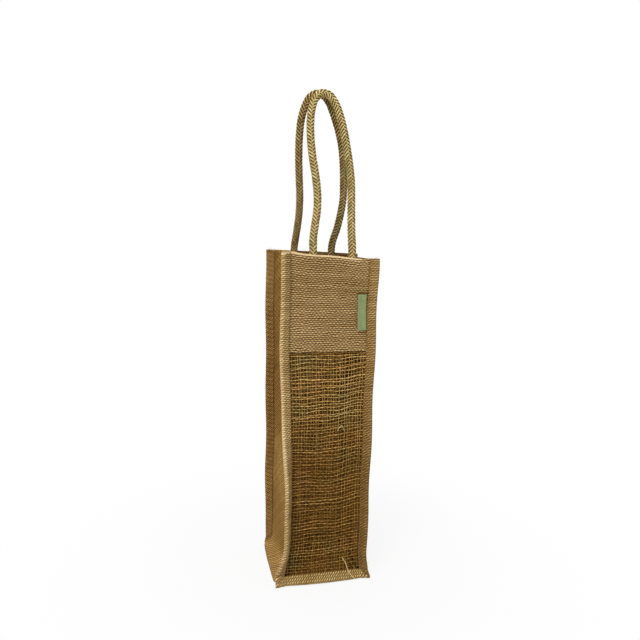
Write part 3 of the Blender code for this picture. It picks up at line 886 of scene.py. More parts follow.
def closed_sheet(
    name: str, middle: Grid, normals: Grid, thickness: Grid, threads: Grid,
    filled: Grid | None = None, shade: tuple[Grid | float, Grid | float] = (1.0, 1.0),
) -> bpy.types.Object:
    """Make a closed sheet of cloth round a middle surface.

    Args:
        name: The object's name.
        middle: The middle surface's points in rows.
        normals: The unit normals that its outer face follows.
        thickness: Half the cloth's thickness at each point.
        threads: Each point's place in the map of threads.
        filled: Which cells of the grid hold cloth.
        shade: The share of full colour, with painted light and shade, on the outer face and on the
            inner one.

    Returns:
        The object.
    """
    rows, columns = middle.shape[:2]
    cells = np.ones((rows - 1, columns - 1), dtype=bool) if filled is None else filled
    offset = normals * thickness[..., None]
    points = np.concatenate((middle + offset, middle - offset)).reshape(-1, 3)
    points[:, 2] = np.maximum(points[:, 2], 0.0)
    index = np.arange(rows * columns).reshape(rows, columns)
    a, b, c, d = index[:-1, :-1], index[:-1, 1:], index[1:, 1:], index[1:, :-1]
    row, column = rows // 2, columns // 2
    along = middle[row, column - 1] - middle[row, column]
    down = middle[row - 1, column] - middle[row, column]
    straight = np.cross(along, down) @ normals[row, column] > 0
    ring = (a, b, c, d) if straight else (a, d, c, b)
    back = rows * columns
    quads = [np.stack([part[cells] for part in ring], axis=1)]
    quads.append(np.stack([part[cells] + back for part in reversed(ring)], axis=1))
    padded = np.pad(cells, 1)
    edges = (
        (padded[:-2, 1:-1], a, b), (padded[1:-1, 2:], b, c),
        (padded[2:, 1:-1], c, d), (padded[1:-1, :-2], d, a),
    )
    for neighbour, start, end in edges:
        open_edge = cells & ~neighbour
        one, two = start[open_edge], end[open_edge]
        wall = (two, one, one + back, two + back)
        quads.append(np.stack(wall if straight else tuple(reversed(wall)), axis=1))
    uv = threads.reshape(-1, 2)
    shown = np.concatenate([np.broadcast_to(part, (rows, columns)).ravel() for part in shade])
    return mesh_of(name, points, np.concatenate(quads), np.concatenate((uv, uv)), shown)


@dataclass(frozen=True)
class Cloth:
    """One weight of woven cloth: its thread pitches, thickness and how its weave stands up."""

    warp: float = 0.00188
    weft: float = 0.00217
    half_thickness: float = 0.00040
    relief: float = 0.00024
    layer: float = 0.00066

    def threads(self, columns: int, rows: int) -> Grid:
        """Return a map of threads whose crossings fall on every second point of a grid."""
        across, up = np.meshgrid(np.arange(columns), np.arange(rows))
        return stacked(across / 2.0, up / 2.0)

    def bias(self, columns: int, rows: int) -> Grid:
        """Return a map of threads that run at 45 degrees to a grid."""
        across, up = np.meshgrid(np.arange(columns), np.arange(rows))
        return stacked((across + up) / 2.0, (up - across) / 2.0 + columns)

    def thickness(self, threads: Grid) -> Grid:
        """Return half the cloth's thickness, with its crossings standing up."""
        crests = np.sin(np.pi * threads) ** 2
        return self.half_thickness + self.relief * (crests.sum(axis=-1) - 1.0)


CLOTH = Cloth()
HEM_TURNS = np.radians((30.0, 90.0, 150.0))


def turned_over(edge: Grid, normals: Grid, outwards: Grid, layer: float) -> Grid:
    """Bend cloth over an edge.

    Args:
        edge: The edge of the seam surface.
        normals: The surface's unit normals there.
        outwards: The unit directions in which the surface runs out over the edge.
        layer: The distance from the surface to the middle of the cloth.

    Returns:
        The rows of the bend, from the front of the surface to behind it.
    """
    return np.array([
        edge + layer * (normals * math.cos(turn) + outwards * (math.sin(turn) - 1.0))
        for turn in HEM_TURNS])


def with_hems(surface: Grid, normals: Grid, top: int, bottom: int, layer: float) -> Grid:
    """Turn the upper and lower rows of a surface over, behind the rest.

    Args:
        surface: The seam surface in rows, evenly spaced, which the cloth lies in front of.
        normals: Its unit normals.
        top: How many rows the upper hem has, or 0.
        bottom: How many rows the lower hem has, or 0.
        layer: The distance from the surface to the middle of the cloth on either side.

    Returns:
        The cloth's middle surface, with the lower hem's rows first and the upper hem's last.
    """
    rows = [surface + normals * layer]
    behind = surface - normals * layer
    if top:
        rise = unit(surface[-1] - surface[-2])
        rows += [turned_over(surface[-1], normals[-1], rise, layer), behind[-2:-2 - top:-1]]
    if bottom:
        fall = unit(surface[0] - surface[1])
        bend = turned_over(surface[0], normals[0], fall, layer)
        rows = [behind[1:1 + bottom][::-1], bend[::-1]] + rows
    return np.concatenate(rows)


@dataclass
class BagBody:
    """The sewn cloth of the bag: front header, back, two gussets and the bottom."""

    wardrobe: Wardrobe
    passes: int = 7
    header_hem: int = 9
    hem_margin: int = 2
    # Painted shade: the share of colour on inner faces and on the turned-in rim hem.
    inside: float = 0.55
    line_width: float = 0.0009
    rim_edge: Pair = (0.0030, 0.0010)
    # Painted shade in the gusset's upper fold and low down, and painted light on its flare facet.
    fold_shade: float = 0.27
    fold_rise: float = 0.035
    fold_depths: Pair = (-0.030, -0.010)
    foot_shade: float = 0.16
    foot_heights: Pair = (0.110, 0.070)
    foot_clear: Pair = (0.020, 0.035)
    flare_light: float = 0.17
    flare_edge: float = 0.006
    # Painted highlight, fainter, along the gusset's rim.
    gusset_highlight: float = 0.3
    # Painted shade in the grooves of the hem's stitch line and of the seams beside the flanges.
    stitch_groove_shade: float = 0.35
    stitch_rise: float = 0.0030
    seam_groove_shade: float = 0.30
    seam_out: float = 0.0006
    # Painted shadow in the slit above the label.
    slit_shadow: float = 0.75
    slit_place: Pair = (0.0346, 0.3118)
    slit_half: float = 0.0062
    slit_width: float = 0.0008
    # Painted highlight along the lit top edge of the rim.
    rim_highlight: float = 0.75
    rim_highlight_end: Pair = (0.036, 0.028)
    # Painted light on the back's inner face below the window, more of it higher up.
    window_light: Pair = (0.70, 0.45)
    window_heights: Pair = (0.130, 0.210)
    window_edge: Pair = (0.030, -0.010)
    made: list[bpy.types.Object] = field(default_factory=list)

    def across(self) -> Grid:
        """Return the columns of a panel from tip to tip of its flanges, on half pitches."""
        reach = FORM.half + FORM.flange
        return steps(-reach, reach, CLOTH.warp / 2)

    def sew(
        self, name: str, surface: Grid, towards: Triple, hems: tuple[int, int], look: Look,
        slot: Slot, node: str,
    ) -> None:
        """Make one cloth piece and put it on the bag.

        Args:
            name: The piece's name.
            surface: The seam surface that it lies in front of.
            towards: The way that its outer face looks.
            hems: How many rows are turned in at the top and at the bottom.
            look: Its finish.
            slot: Its slot in the record.
            node: The model's node that it stands for.
        """
        surface = soften(surface, self.passes)
        top, bottom = hems
        flat = with_hems(surface, facing(surface, towards), top, bottom, CLOTH.layer)
        middle = FORM.settle(flat)
        rows, columns = middle.shape[:2]
        threads = CLOTH.threads(columns, rows)
        filled = np.ones((rows - 1, columns - 1), dtype=bool)
        inset = round(FORM.flange / (CLOTH.warp / 2)) + self.hem_margin
        upper = slice(rows - 1 - top - self.hem_margin, None)
        for count, side in ((top, upper), (bottom, slice(0, bottom + self.hem_margin))):
            if count:
                filled[side, :inset] = False
                filled[side, -inset:] = False
        outer, inner = self.shades(flat, slot)
        # Painted shade: the turned-in rows of the upper hem take the inner faces' share.
        if top:
            outer[-top - 1:] = self.inside
        piece = closed_sheet(name, middle, facing(middle, towards), CLOTH.thickness(threads),
                             threads, filled, (outer, inner))
        piece.data.materials.append(self.wardrobe[look])
        piece.data.materials.append(self.wardrobe[Look.INNER_SHADE])
        places = np.zeros(len(piece.data.polygons), dtype=np.int32)
        places[filled.sum():2 * filled.sum()] = 1
        piece.data.polygons.foreach_set("material_index", places)
        self.made.append(put_on_bag(piece, slot, node))

    def shades(self, flat: Grid, slot: Slot) -> tuple[Grid, Grid]:
        """Paint shade and light on a piece by its place on the bag.

        Args:
            flat: The piece's points before they settle.
            slot: Its slot in the record.

        Returns:
            The share of full colour, with its painted shade and light, on its outer face and on its
            inner one.
        """
        x, y, z = flat[..., 0], flat[..., 1], flat[..., 2]
        outer = np.ones_like(z)
        rim = rising(z, *(FORM.height - edge for edge in self.rim_edge))
        if slot is Slot.GUSSET:
            # Painted shade on the gusset above the crease and low down, painted light on the flare
            # facet that faces up.
            fold = rising(z, FORM.crease_foot, FORM.crease_foot + self.fold_rise)
            outer -= self.fold_shade * fold * rising(y, *self.fold_depths)
            outer -= self.foot_shade * rising(z, *self.foot_heights) * rising(z, *self.foot_clear)
            outer += self.flare_light * rising(
                z + FORM.flare_rise * y, FORM.flare_height, FORM.flare_height - self.flare_edge)
            return outer + self.gusset_highlight * rim, np.full_like(outer, self.inside)
        # Painted shade in the stitch line's groove and in the seams' grooves.
        outer -= self.stitch_groove_shade * ridge(z, FORM.hem_edge + self.stitch_rise, self.line_width)
        outer -= self.seam_groove_shade * ridge(np.abs(x), FORM.half + self.seam_out, self.line_width)
        # Painted shadow: a dark line in the slit over the label's top.
        slit_shadow = ridge(z, self.slit_place[1], self.slit_width)
        outer -= self.slit_shadow * slit_shadow * (np.abs(x - self.slit_place[0]) < self.slit_half) * (y < 0)
        # Painted highlight on the panels' rim edge, fading out towards the right.
        worn = (np.abs(x) < FORM.half) * rising(x, *self.rim_highlight_end)
        outer += self.rim_highlight * rim * worn
        # Painted light on the back's inner face below the window top, lighter higher up where light
        # comes in.
        deep = rising(z, *(FORM.window_top + edge for edge in self.window_edge)) * (y > 0)
        low, more = self.window_light
        lit = low + more * rising(z, *self.window_heights)
        return outer, self.inside + (lit - self.inside) * deep

    def build(self) -> None:
        """Make every cloth piece."""
        half_pitch = CLOTH.weft / 2
        hem = round((FORM.height - FORM.hem_edge) / half_pitch)
        across = self.across()
        top = FORM.height - FORM.seam_level
        low = FORM.window_top - FORM.seam_level
        front = FORM.panel(-1, across, steps(low, top, half_pitch))
        self.sew("header_cloth", front, (0.0, -1.0, 0.0), (hem, self.header_hem), Look.PANEL,
                 Slot.PANEL, "front_header")
        back = FORM.panel(1, across, steps(-FORM.flange, top, half_pitch))
        self.sew("back_cloth", back, (0.0, 1.0, 0.0), (hem, 0), Look.PANEL, Slot.PANEL,
                 "back_panel")
        heights = steps(-FORM.under, FORM.height, half_pitch)
        for side_x, side in ((-1, "left"), (1, "right")):
            gusset = FORM.gusset(side_x, across, heights)
            self.sew(side + "_gusset_cloth", gusset, (float(side_x), 0.0, 0.0), (hem, 0),
                     Look.GUSSET, Slot.GUSSET, side + "_gusset")
        bottom = FORM.bottom(steps(-FORM.half, FORM.half, half_pitch), across)
        self.sew("bottom_cloth", bottom, (0.0, 0.0, -1.0), (0, 0), Look.GUSSET, Slot.GUSSET,
                 "base_panel")


@dataclass
class Bindings:
    """The folded strips sewn round the raw edges of every flange."""

    wardrobe: Wardrobe
    start: float = 0.0021
    end: float = 0.0092
    inner: float = 0.00150
    outer: float = 0.00225
    edge_roll: float = 0.00035
    roll_width: float = 0.0012
    bend_steps: int = 4
    edge_span: Pair = (-0.0012, 0.0008)
    root_width: float = 0.0012
    rim_edge: Pair = (0.0030, 0.0010)
    rim_highlight: float = 0.6
    highlight_node: str = "front_binding_left"
    inner_shade: float = 0.6
    # Painted light and shade up the listed strips: front left lighter high up, front right darker
    # low down, back left darker mid height.
    light_and_shade_by_height: dict[str, Table] = field(default_factory=lambda: {
        "front_binding_left": (
            (0.0, 0.06, 0.12, 0.20, 0.30, 0.35), (1.0, 1.02, 1.18, 1.20, 1.12, 1.12)),
        "front_binding_right": (
            (0.0, 0.10, 0.16, 0.20, 0.30, 0.35), (0.60, 0.60, 0.68, 0.76, 0.94, 0.96)),
        "back_binding_left": (
            (0.0, 0.08, 0.14, 0.22, 0.30, 0.35), (0.95, 0.9, 0.74, 0.78, 1.0, 1.0)),
    })
    # Painted light on each strip's folded edge, and painted shade at its root, or painted light
    # there where the second number is below 0.
    edge_and_root_shading: dict[str, Pair] = field(default_factory=lambda: {
        "front_binding_left": (0.34, 0.20), "back_binding_left": (0.12, -0.55)})
    usual_edge_and_root_shading: Pair = (0.12, 0.20)
    made: list[bpy.types.Object] = field(default_factory=list)

    def profile(self, radius: float, step: float) -> tuple[Grid, Grid]:
        """Lay out one face of the strip's section.

        Args:
            radius: The face's distance from the middle of the flange.
            step: The distance between its points.

        Returns:
            The points' distances out from the seam and off the flange.
        """
        out = steps(self.start, self.end, step)
        turns = np.linspace(math.pi / 2, -math.pi / 2, self.bend_steps + 1)[1:-1]
        roll = self.edge_roll * ridge(out, self.start, self.roll_width)
        away = radius + roll * (radius == self.outer)
        reach = np.concatenate((out, self.end + radius * np.cos(turns), out[::-1]))
        offset = np.concatenate((away, radius * np.sin(turns), -away[::-1]))
        return reach, offset

    def wrap(self, node: str, seam: Grid, runs: Grid, look: Look, bias: bool) -> None:
        """Fold a strip round a flange.

        Args:
            node: The model's node that it stands for.
            seam: Points along the flange's root.
            runs: The run of the flange at each, for one metre out.
            look: Its finish.
            bias: Whether the strip is cut across the threads.
        """
        along = unit(np.gradient(seam + runs * self.end, axis=0))
        normals = unit(np.cross(along, runs))
        faces = []
        for radius in (self.outer, self.inner):
            reach, offset = self.profile(radius, self.step(bias))
            points = seam[:, None] + runs[:, None] * reach[None, :, None]
            faces.append(points + normals[:, None] * offset[None, :, None])
        rows, columns = faces[0].shape[:2]
        threads = CLOTH.bias(columns, rows) if bias else CLOTH.threads(columns, rows)
        lift = (CLOTH.thickness(threads) - CLOTH.half_thickness)[..., None]
        outer = FORM.settle(faces[0] + unit(faces[0] - faces[1]) * lift)
        inner = FORM.settle(faces[1])
        size = np.linalg.norm(outer - inner, axis=-1)
        shown = self.shades(node, reach, faces[0][..., 2])
        # Painted shade: the strip's inner face takes a smaller share than its outer face.
        piece = closed_sheet(
            node + "_strip", (outer + inner) / 2, (outer - inner) / size[..., None], size / 2,
            threads, shade=(shown, self.inner_shade * shown))
        piece.data.materials.append(self.wardrobe[look])
        self.made.append(put_on_bag(piece, Slot.BINDING, node))

    def shades(self, node: str, reach: Grid, level: Grid) -> Grid:
        """Paint light and shade on a strip by its place off the seam and its height.

        Args:
            node: The model's node that it stands for.
            reach: The distance out from the seam.
            level: The height.

        Returns:
            The share of full colour, with its painted light and shade.
        """
        # Painted light on the folded edge and painted shade at the root, from the strip's pair.
        edge = rising(reach, *(self.end + side for side in self.edge_span))
        root = rising(reach, self.start + self.root_width, self.start)
        # Painted light and shade up the strip's height, from its table.
        tone = through(*self.light_and_shade_by_height[node], level) if node in self.light_and_shade_by_height else 1.0
        lit, depth = self.edge_and_root_shading.get(node, self.usual_edge_and_root_shading)
        # Painted highlight on the top edge of the front left strip.
        rim = rising(level, *(FORM.height - side for side in self.rim_edge))
        worn = self.rim_highlight * rim * (node == self.highlight_node)
        return (1.0 + lit * edge - depth * root) * tone + worn

    @staticmethod
    def step(bias: bool) -> float:
        """Return the distance between crossings, along the strip and across it."""
        return CLOTH.warp / math.sqrt(2) if bias else CLOTH.warp / 2

    def fan(self, run: Grid, side_x: int, side_y: int, bias: bool) -> Grid:
        """Turn from a mitre's tip to the end of a flange.

        Args:
            run: The flange's run at its end.
            side_x: -1 at the left corners and 1 at the right ones.
            side_y: -1 at the front corners and 1 at the back ones.
            bias: Whether the strip is cut across the threads.

        Returns:
            The runs between, with the tip's first.
        """
        mitre = FORM.mitre_reach(side_x, side_y) / FORM.flange
        count = max(2, round(FORM.flange * math.sin(FORM.base_turn) / self.step(bias)))
        shares = np.linspace(1.0, 0.0, count, endpoint=False)[:, None]
        return (1.0 - shares) * run + shares * mitre

    def side(self, side_x: int, side_y: int) -> tuple[Grid, Grid]:
        """Lay out one upright flange, from its mitre to the rim.

        Args:
            side_x: -1 for the left and 1 for the right.
            side_y: -1 for the front and 1 for the back.

        Returns:
            The points of its root and its run at each.
        """
        seam = FORM.seam(side_x, side_y)
        heights = steps(FORM.seam_level, FORM.height, self.step(False))
        root, runs = FORM.root(seam, heights), seam.reach(heights)
        lower = self.fan(runs[0], side_x, side_y, False)
        root = np.concatenate((np.repeat(root[:1], len(lower), axis=0), root))
        return root, np.concatenate((lower, runs))

    def base(self, side_y: int) -> tuple[Grid, Grid]:
        """Lay out one bottom flange, from mitre to mitre.

        Args:
            side_y: -1 for the front and 1 for the back.

        Returns:
            The points of its root and its run at each.
        """
        across = steps(-FORM.half, FORM.half, self.step(True))
        root = stacked(across, side_y * FORM.half, FORM.seam_level)
        runs = FORM.base_reach(side_y, across) / FORM.flange
        left = self.fan(runs[0], -1, side_y, True)
        right = self.fan(runs[-1], 1, side_y, True)
        ends = (np.repeat(root[:1], len(left), axis=0), np.repeat(root[-1:], len(right), axis=0))
        return (np.concatenate((ends[0], root, ends[1])),
                np.concatenate((left, runs, right[::-1])))

    def build(self) -> None:
        """Bind every flange."""
        for side_y, end, look in ((-1, "front", Look.BINDING), (1, "back", Look.SHADE)):
            for side_x, side in ((-1, "left"), (1, "right")):
                self.wrap(f"{end}_binding_{side}", *self.side(side_x, side_y), look, False)
            self.wrap(f"{end}_binding_base", *self.base(side_y), Look.STRIP, True)


class NodeTrees:
    """The Geometry Nodes trees that sweep, stitch and scatter."""

    def __init__(self) -> None:
        """Build every tree."""
        self.sweep = self.sweep_tree()
        self.stitches = self.stitch_tree()
        self.fibres = self.fibre_tree()

    @staticmethod
    def begin(name: str, sockets: dict[str, float | int | None]) -> tuple[Bench, dict[str, Wire]]:
        """Start a tree.

        Args:
            name: The tree's name.
            sockets: Its inputs' defaults by name, with None for the material.

        Returns:
            A bench on the tree, and wires from its inputs by name.
        """
        kinds = {float: "NodeSocketFloat", int: "NodeSocketInt", type(None): "NodeSocketMaterial"}
        tree = bpy.data.node_groups.new(name, "GeometryNodeTree")
        for way in ("INPUT", "OUTPUT"):
            tree.interface.new_socket("Geometry", in_out=way, socket_type="NodeSocketGeometry")
        for title, default in {**sockets, "Material": None}.items():
            socket = tree.interface.new_socket(
                title, in_out="INPUT", socket_type=kinds[type(default)])
            if default is not None:
                socket.default_value = default
        bench = Bench(tree)
        given = bench.add("NodeGroupInput")
        return bench, {name: given[name] for name in ("Geometry", "Material", *sockets)}

    @staticmethod
    def end(geometry: Wire, material: Wire) -> bpy.types.NodeTree:
        """Close a tree with smooth shading, Realize Instances and Set Material."""
        add = geometry.bench.add
        smooth = add("GeometryNodeSetShadeSmooth", {"Geometry": geometry})
        real = add("GeometryNodeRealizeInstances", {"Geometry": smooth})
        dressed = add("GeometryNodeSetMaterial", {"Geometry": real, "Material": material})
        add("NodeGroupOutput", {"Geometry": dressed})
        return geometry.bench.tree

    @staticmethod
    def store(geometry: Wire, name: str, value: Value, kind: str = "FLOAT") -> Wire:
        """Return a geometry with a value stored on its points."""
        return geometry.bench.add("GeometryNodeStoreNamedAttribute", {
            "Geometry": geometry, "Name": name, "Value": value}, data_type=kind, domain="POINT")

    @staticmethod
    def read(bench: Bench, name: str, kind: str = "FLOAT") -> Wire:
        """Return a value that is stored on the geometry."""
        return bench.add("GeometryNodeInputNamedAttribute", {"Name": name}, data_type=kind)

    def sweep_tree(self) -> bpy.types.NodeTree:
        """Sweep an oval section along polylines that carry their thickness and facing.

        Returns:
            The tree.
        """
        bench, given = self.begin("sweep_strands", {"Sides": 6, "Flatness": 1.0, "Pitch": 0.004})
        line = bench.add("GeometryNodeMeshToCurve", {"Mesh": given["Geometry"]})
        turned = bench.add("GeometryNodeSetCurveNormal", {
            "Curve": line, "Normal": self.read(bench, "facing", "FLOAT_VECTOR")}, mode="FREE")
        length = bench.add("GeometryNodeSplineParameter")["Length"]
        kept = self.store(turned, "along", bench.maths("DIVIDE", length, given["Pitch"]))
        turn = bench.add("GeometryNodeSplineParameter")["Factor"] * (2.0 * math.pi)
        section = bench.add("GeometryNodeCurvePrimitiveCircle", {
            "Resolution": given["Sides"], "Radius": 1.0})
        section = self.store(section, "crest", bench.maths("COSINE", turn))
        section = self.store(section, "side", bench.maths("SINE", turn))
        section = bench.add("GeometryNodeTransform", {
            "Geometry": section, "Scale": bench.join(given["Flatness"], 1.0, 1.0)})
        tube = bench.add("GeometryNodeCurveToMesh", {
            "Curve": kept, "Profile Curve": section, "Scale": self.read(bench, "thick"),
            "Fill Caps": True})
        place = bench.join(*(self.read(bench, name) for name in ("crest", "side", "along")))
        return self.end(self.store(tube, "lay", place, "FLOAT_VECTOR"), given["Material"])

    def stitch_tree(self) -> bpy.types.NodeTree:
        """Lay short stitches end to end along polylines.

        Returns:
            The tree.
        """
        bench, given = self.begin("lay_stitches", {
            "Step": 0.003, "Length": 0.002, "Radius": 0.0002})
        line = bench.add("GeometryNodeMeshToCurve", {"Mesh": given["Geometry"]})
        places = bench.add("GeometryNodeCurveToPoints", {
            "Curve": line, "Length": given["Step"]}, mode="LENGTH")
        rod = bench.add("GeometryNodeMeshCylinder", {
            "Vertices": 6, "Radius": given["Radius"], "Depth": given["Length"]})
        rods = bench.add("GeometryNodeInstanceOnPoints", {
            "Points": places, "Instance": self.store(rod, "shade", 1.0),
            "Rotation": places["Rotation"]})
        return self.end(rods, given["Material"])

    def fibre_tree(self) -> bpy.types.NodeTree:
        """Scatter short curved fibres over a surface.

        Returns:
            The tree.
        """
        bench, given = self.begin("scatter_fibres", {
            "Density": 1000.0, "Length": 0.004, "Radius": 0.00007, "Seed": 0})
        scatter = bench.add("GeometryNodeDistributePointsOnFaces", {
            "Mesh": given["Geometry"], "Density": given["Density"], "Seed": given["Seed"]})
        hair = bench.add("GeometryNodeCurveQuadraticBezier", {
            "Resolution": 4, "Start": (0.0, 0.0, -0.05), "Middle": (0.10, 0.25, 0.55),
            "End": (0.55, 0.15, 0.85)})
        circle = bench.add("GeometryNodeCurvePrimitiveCircle", {
            "Resolution": 3, "Radius": bench.maths("DIVIDE", given["Radius"], given["Length"])})
        tube = bench.add("GeometryNodeCurveToMesh", {
            "Curve": hair, "Profile Curve": circle, "Fill Caps": True})
        spin = bench.add("FunctionNodeRandomValue", {
            "Min": (-0.9, -0.9, 0.0), "Max": (0.9, 0.9, 2.0 * math.pi), "Seed": given["Seed"],
        }, data_type="FLOAT_VECTOR")
        aim = bench.add("FunctionNodeRotateRotation", {
            "Rotation": scatter["Rotation"],
            "Rotate By": bench.add("FunctionNodeEulerToRotation", {0: spin}),
        }, rotation_space="LOCAL")
        size = bench.add("FunctionNodeRandomValue", {
            "Min": 0.45, "Max": 1.3, "Seed": given["Seed"]}, data_type="FLOAT")
        grown = bench.add("GeometryNodeInstanceOnPoints", {
            "Points": scatter, "Instance": self.store(tube, "shade", 1.0), "Rotation": aim,
            "Scale": size * given["Length"]})
        return self.end(grown, given["Material"])

    @staticmethod
    def grow(
        name: str, mesh: bpy.types.Mesh, tree: bpy.types.NodeTree, values: dict[str, object],
    ) -> bpy.types.Object:
        """Run a tree on a mesh and return its result as a plain mesh object.

        Args:
            name: The result's name.
            mesh: What the tree starts from.
            tree: The tree.
            values: The tree's inputs by name.

        Returns:
            The object.
        """
        carrier = link(name + "_source", mesh)
        modifier = carrier.modifiers.new("grow", "NODES")
        modifier.node_group = tree
        for item in tree.interface.items_tree:
            if item.in_out == "INPUT" and item.name in values:
                modifier[item.identifier] = values[item.name]
        graph = bpy.context.evaluated_depsgraph_get()
        grown = bpy.data.meshes.new_from_object(carrier.evaluated_get(graph), depsgraph=graph)
        grown.name = name
        bpy.data.objects.remove(carrier, do_unlink=True)
        return link(name, grown)


@dataclass
class Strands:
    """Polylines gathered for one sweep, with what each of their points carries."""

    points: list[Grid] = field(default_factory=list)
    thick: list[Grid] = field(default_factory=list)
    shade: list[Grid] = field(default_factory=list)
    facing: list[Grid] = field(default_factory=list)

    def add(
        self, line: Grid, thick: Grid | float, facing: Grid | Triple, shade: Grid | float = 1.0,
    ) -> None:
        """Add one polyline.

        Args:
            line: Its points.
            thick: Its half thickness.
            facing: The way that its outer side looks.
            shade: Its share of full colour, with tone and painted light and shade.
        """
        self.points.append(line)
        self.thick.append(np.broadcast_to(thick, len(line)))
        self.shade.append(np.broadcast_to(shade, len(line)))
        self.facing.append(np.broadcast_to(facing, line.shape))

    def mesh(self, title: str) -> bpy.types.Mesh:
        """Join the polylines.

        Args:
            title: The mesh's name.

        Returns:
            One mesh of edges.
        """
        edges, start = [], 0
        for line in self.points:
            edges += [(start + i, start + i + 1) for i in range(len(line) - 1)]
            start += len(line)
        mesh = bpy.data.meshes.new(title)
        mesh.from_pydata(np.concatenate(self.points).tolist(), edges, [])
        for name, parts in (("thick", self.thick), ("shade", self.shade)):
            kept = mesh.attributes.new(name, "FLOAT", "POINT")
            kept.data.foreach_set("value", np.concatenate(parts).astype(np.float32))
        away = mesh.attributes.new("facing", "FLOAT_VECTOR", "POINT")
        away.data.foreach_set("vector", np.concatenate(self.facing).astype(np.float32).ravel())
        return mesh


@dataclass
class WindowNet:
    """The net of thin twines in the front window, woven over and under."""

    wardrobe: Wardrobe
    trees: NodeTrees
    uprights: int = 25
    courses: int = 71
    twine: float = 0.00039
    upright: float = 0.00030
    lift: float = 0.00036
    tuck: float = 0.0040
    lap: float = 0.006
    side_margin: float = 0.0016
    row_span: Pair = (0.0022, 0.0075)
    upright_stray: float = 0.00022
    course_stray: float = 0.00042
    course_beside: float = 0.0008
    upright_beside: float = 0.0007
    climb: float = 0.0044
    climb_span: Pair = (0.006, 0.040)
    held_ends: Pair = (0.012, 0.014)
    held_rows: Pair = (0.010, 0.012)
    low: float = 0.66
    low_heights: Pair = (0.110, 0.190)
    lip: float = 0.5
    lip_edge: Pair = (0.0040, 0.0010)
    drift_waves: tuple[tuple[float, ...], ...] = (
        (0.0006, 92.0, 41.0, 0.0), (0.0004, 160.0, -97.0, 2.0))
    upright_sways: tuple[Triple, Triple] = ((0.0004, 55.0, 1.7), (0.0002, 170.0, 1.0))
    upright_swell: Triple = (0.22, 210.0, 5.0)
    upright_sizes: Pair = (0.8, 1.2)
    upright_shades: Pair = (0.65, 0.95)
    course_sway: Triple = (0.00022, 330.0, 2.3)
    course_waves: tuple[Pair, ...] = ((0.0001, 0.0004), (60.0, 190.0), (0.0, 6.0))
    course_swell: Triple = (0.25, 150.0, 3.0)
    course_fullness: float = 1.05
    course_sizes: Pair = (0.7, 1.3)
    course_shades: Pair = (0.75, 1.15)
    crossing_light: float = 0.30
    seed: int = 11

    @property
    def top(self) -> float:
        """Return the window's height from the bottom seam."""
        return FORM.window_top - FORM.seam_level

    def drift(self, across: Grid, up: Grid) -> Grid:
        """Let the courses stray upwards.

        Args:
            across: Places across the window.
            up: Places up from the bottom seam.

        Returns:
            How far they stray there.
        """
        foot, head = self.held_ends
        held = rising(up, 0.0, foot) * rising(up, self.top, self.top - head)
        waved = sum(
            size * np.sin(pitch * across + rise * up + start)
            for size, pitch, rise, start in self.drift_waves)
        return held * (self.climb * rising(across, *self.climb_span) + waved)

    def shadow(self, up: Grid) -> Grid:
        """Return the net's share of colour: darker towards the bottom, with a painted shadow under
        the header's edge.
        """
        lit = self.low + (1.0 - self.low) * rising(up, *self.low_heights)
        return lit - self.lip * rising(up, *(self.top - edge for edge in self.lip_edge))

    @staticmethod
    def surface(across: Grid, up: Grid, lift: Grid) -> Grid:
        """Return points on the window, off its surface by a lift."""
        return FORM.settle(FORM.panel_points(-1, across, up) - stacked(0.0, lift, 0.0))

    def lay_uprights(
        self, strands: Strands, rng: np.random.Generator, columns: Grid, rows: Grid,
    ) -> None:
        """Lay the upright twines.

        Args:
            strands: What they are added to.
            rng: What varies them.
            columns: Where they stand.
            rows: Where the courses cross them.
        """
        beside = np.stack((rows - self.course_beside, rows + self.course_beside), 1).ravel()
        fine = np.sort(np.concatenate(((-self.tuck,), beside, (self.top + self.lap,))))
        phase = np.interp(fine, rows, np.arange(self.courses), left=-1, right=self.courses)
        for index, column in enumerate(columns):
            over = np.cos(np.pi * (phase + index))
            sway = column
            for form in self.upright_sways:
                sway = sway + strand_wave(form, fine, index)
            thick = self.upright * (1.0 + strand_wave(self.upright_swell, fine, index))
            thick = thick * rng.uniform(*self.upright_sizes)
            strands.add(self.surface(sway, fine, self.lift * over), thick, (0.0, -1.0, 0.0),
                        rng.uniform(*self.upright_shades) * self.shadow(fine))

    def lay_courses(
        self, strands: Strands, rng: np.random.Generator, columns: Grid, rows: Grid,
    ) -> None:
        """Lay the level twines, which wave and climb to the right.

        Args:
            strands: What they are added to.
            rng: What varies them.
            columns: Where the uprights cross them.
            rows: Where they lie.
        """
        reach = FORM.half + self.tuck
        beside = (columns - self.upright_beside, columns + self.upright_beside, (-reach, reach))
        across = np.sort(np.concatenate(beside))
        phase = np.interp(across, columns, np.arange(self.uprights), left=-1, right=self.uprights)
        foot, head = self.held_rows
        for index, row in enumerate(rows):
            held = min(1.0, row / foot, (self.top + self.lap - row) / head)
            over = -np.cos(np.pi * (phase + index))
            up = row + self.drift(across, np.full_like(across, row))
            up = up + strand_wave(self.course_sway, across, index)
            size, pitch, start = (rng.uniform(*span) for span in self.course_waves)
            up = up + size * np.sin(pitch * across + start) * held
            swell = strand_wave(self.course_swell, across, index)
            thick = self.twine * (self.course_fullness + swell) * rng.uniform(*self.course_sizes)
            # Painted light where a course passes over an upright, and painted shade where it passes
            # under.
            lit = rng.uniform(*self.course_shades) * (1.0 + self.crossing_light * over)
            strands.add(self.surface(across, up, self.lift * over), thick, (0.0, -1.0, 0.0),
                        lit * self.shadow(up))

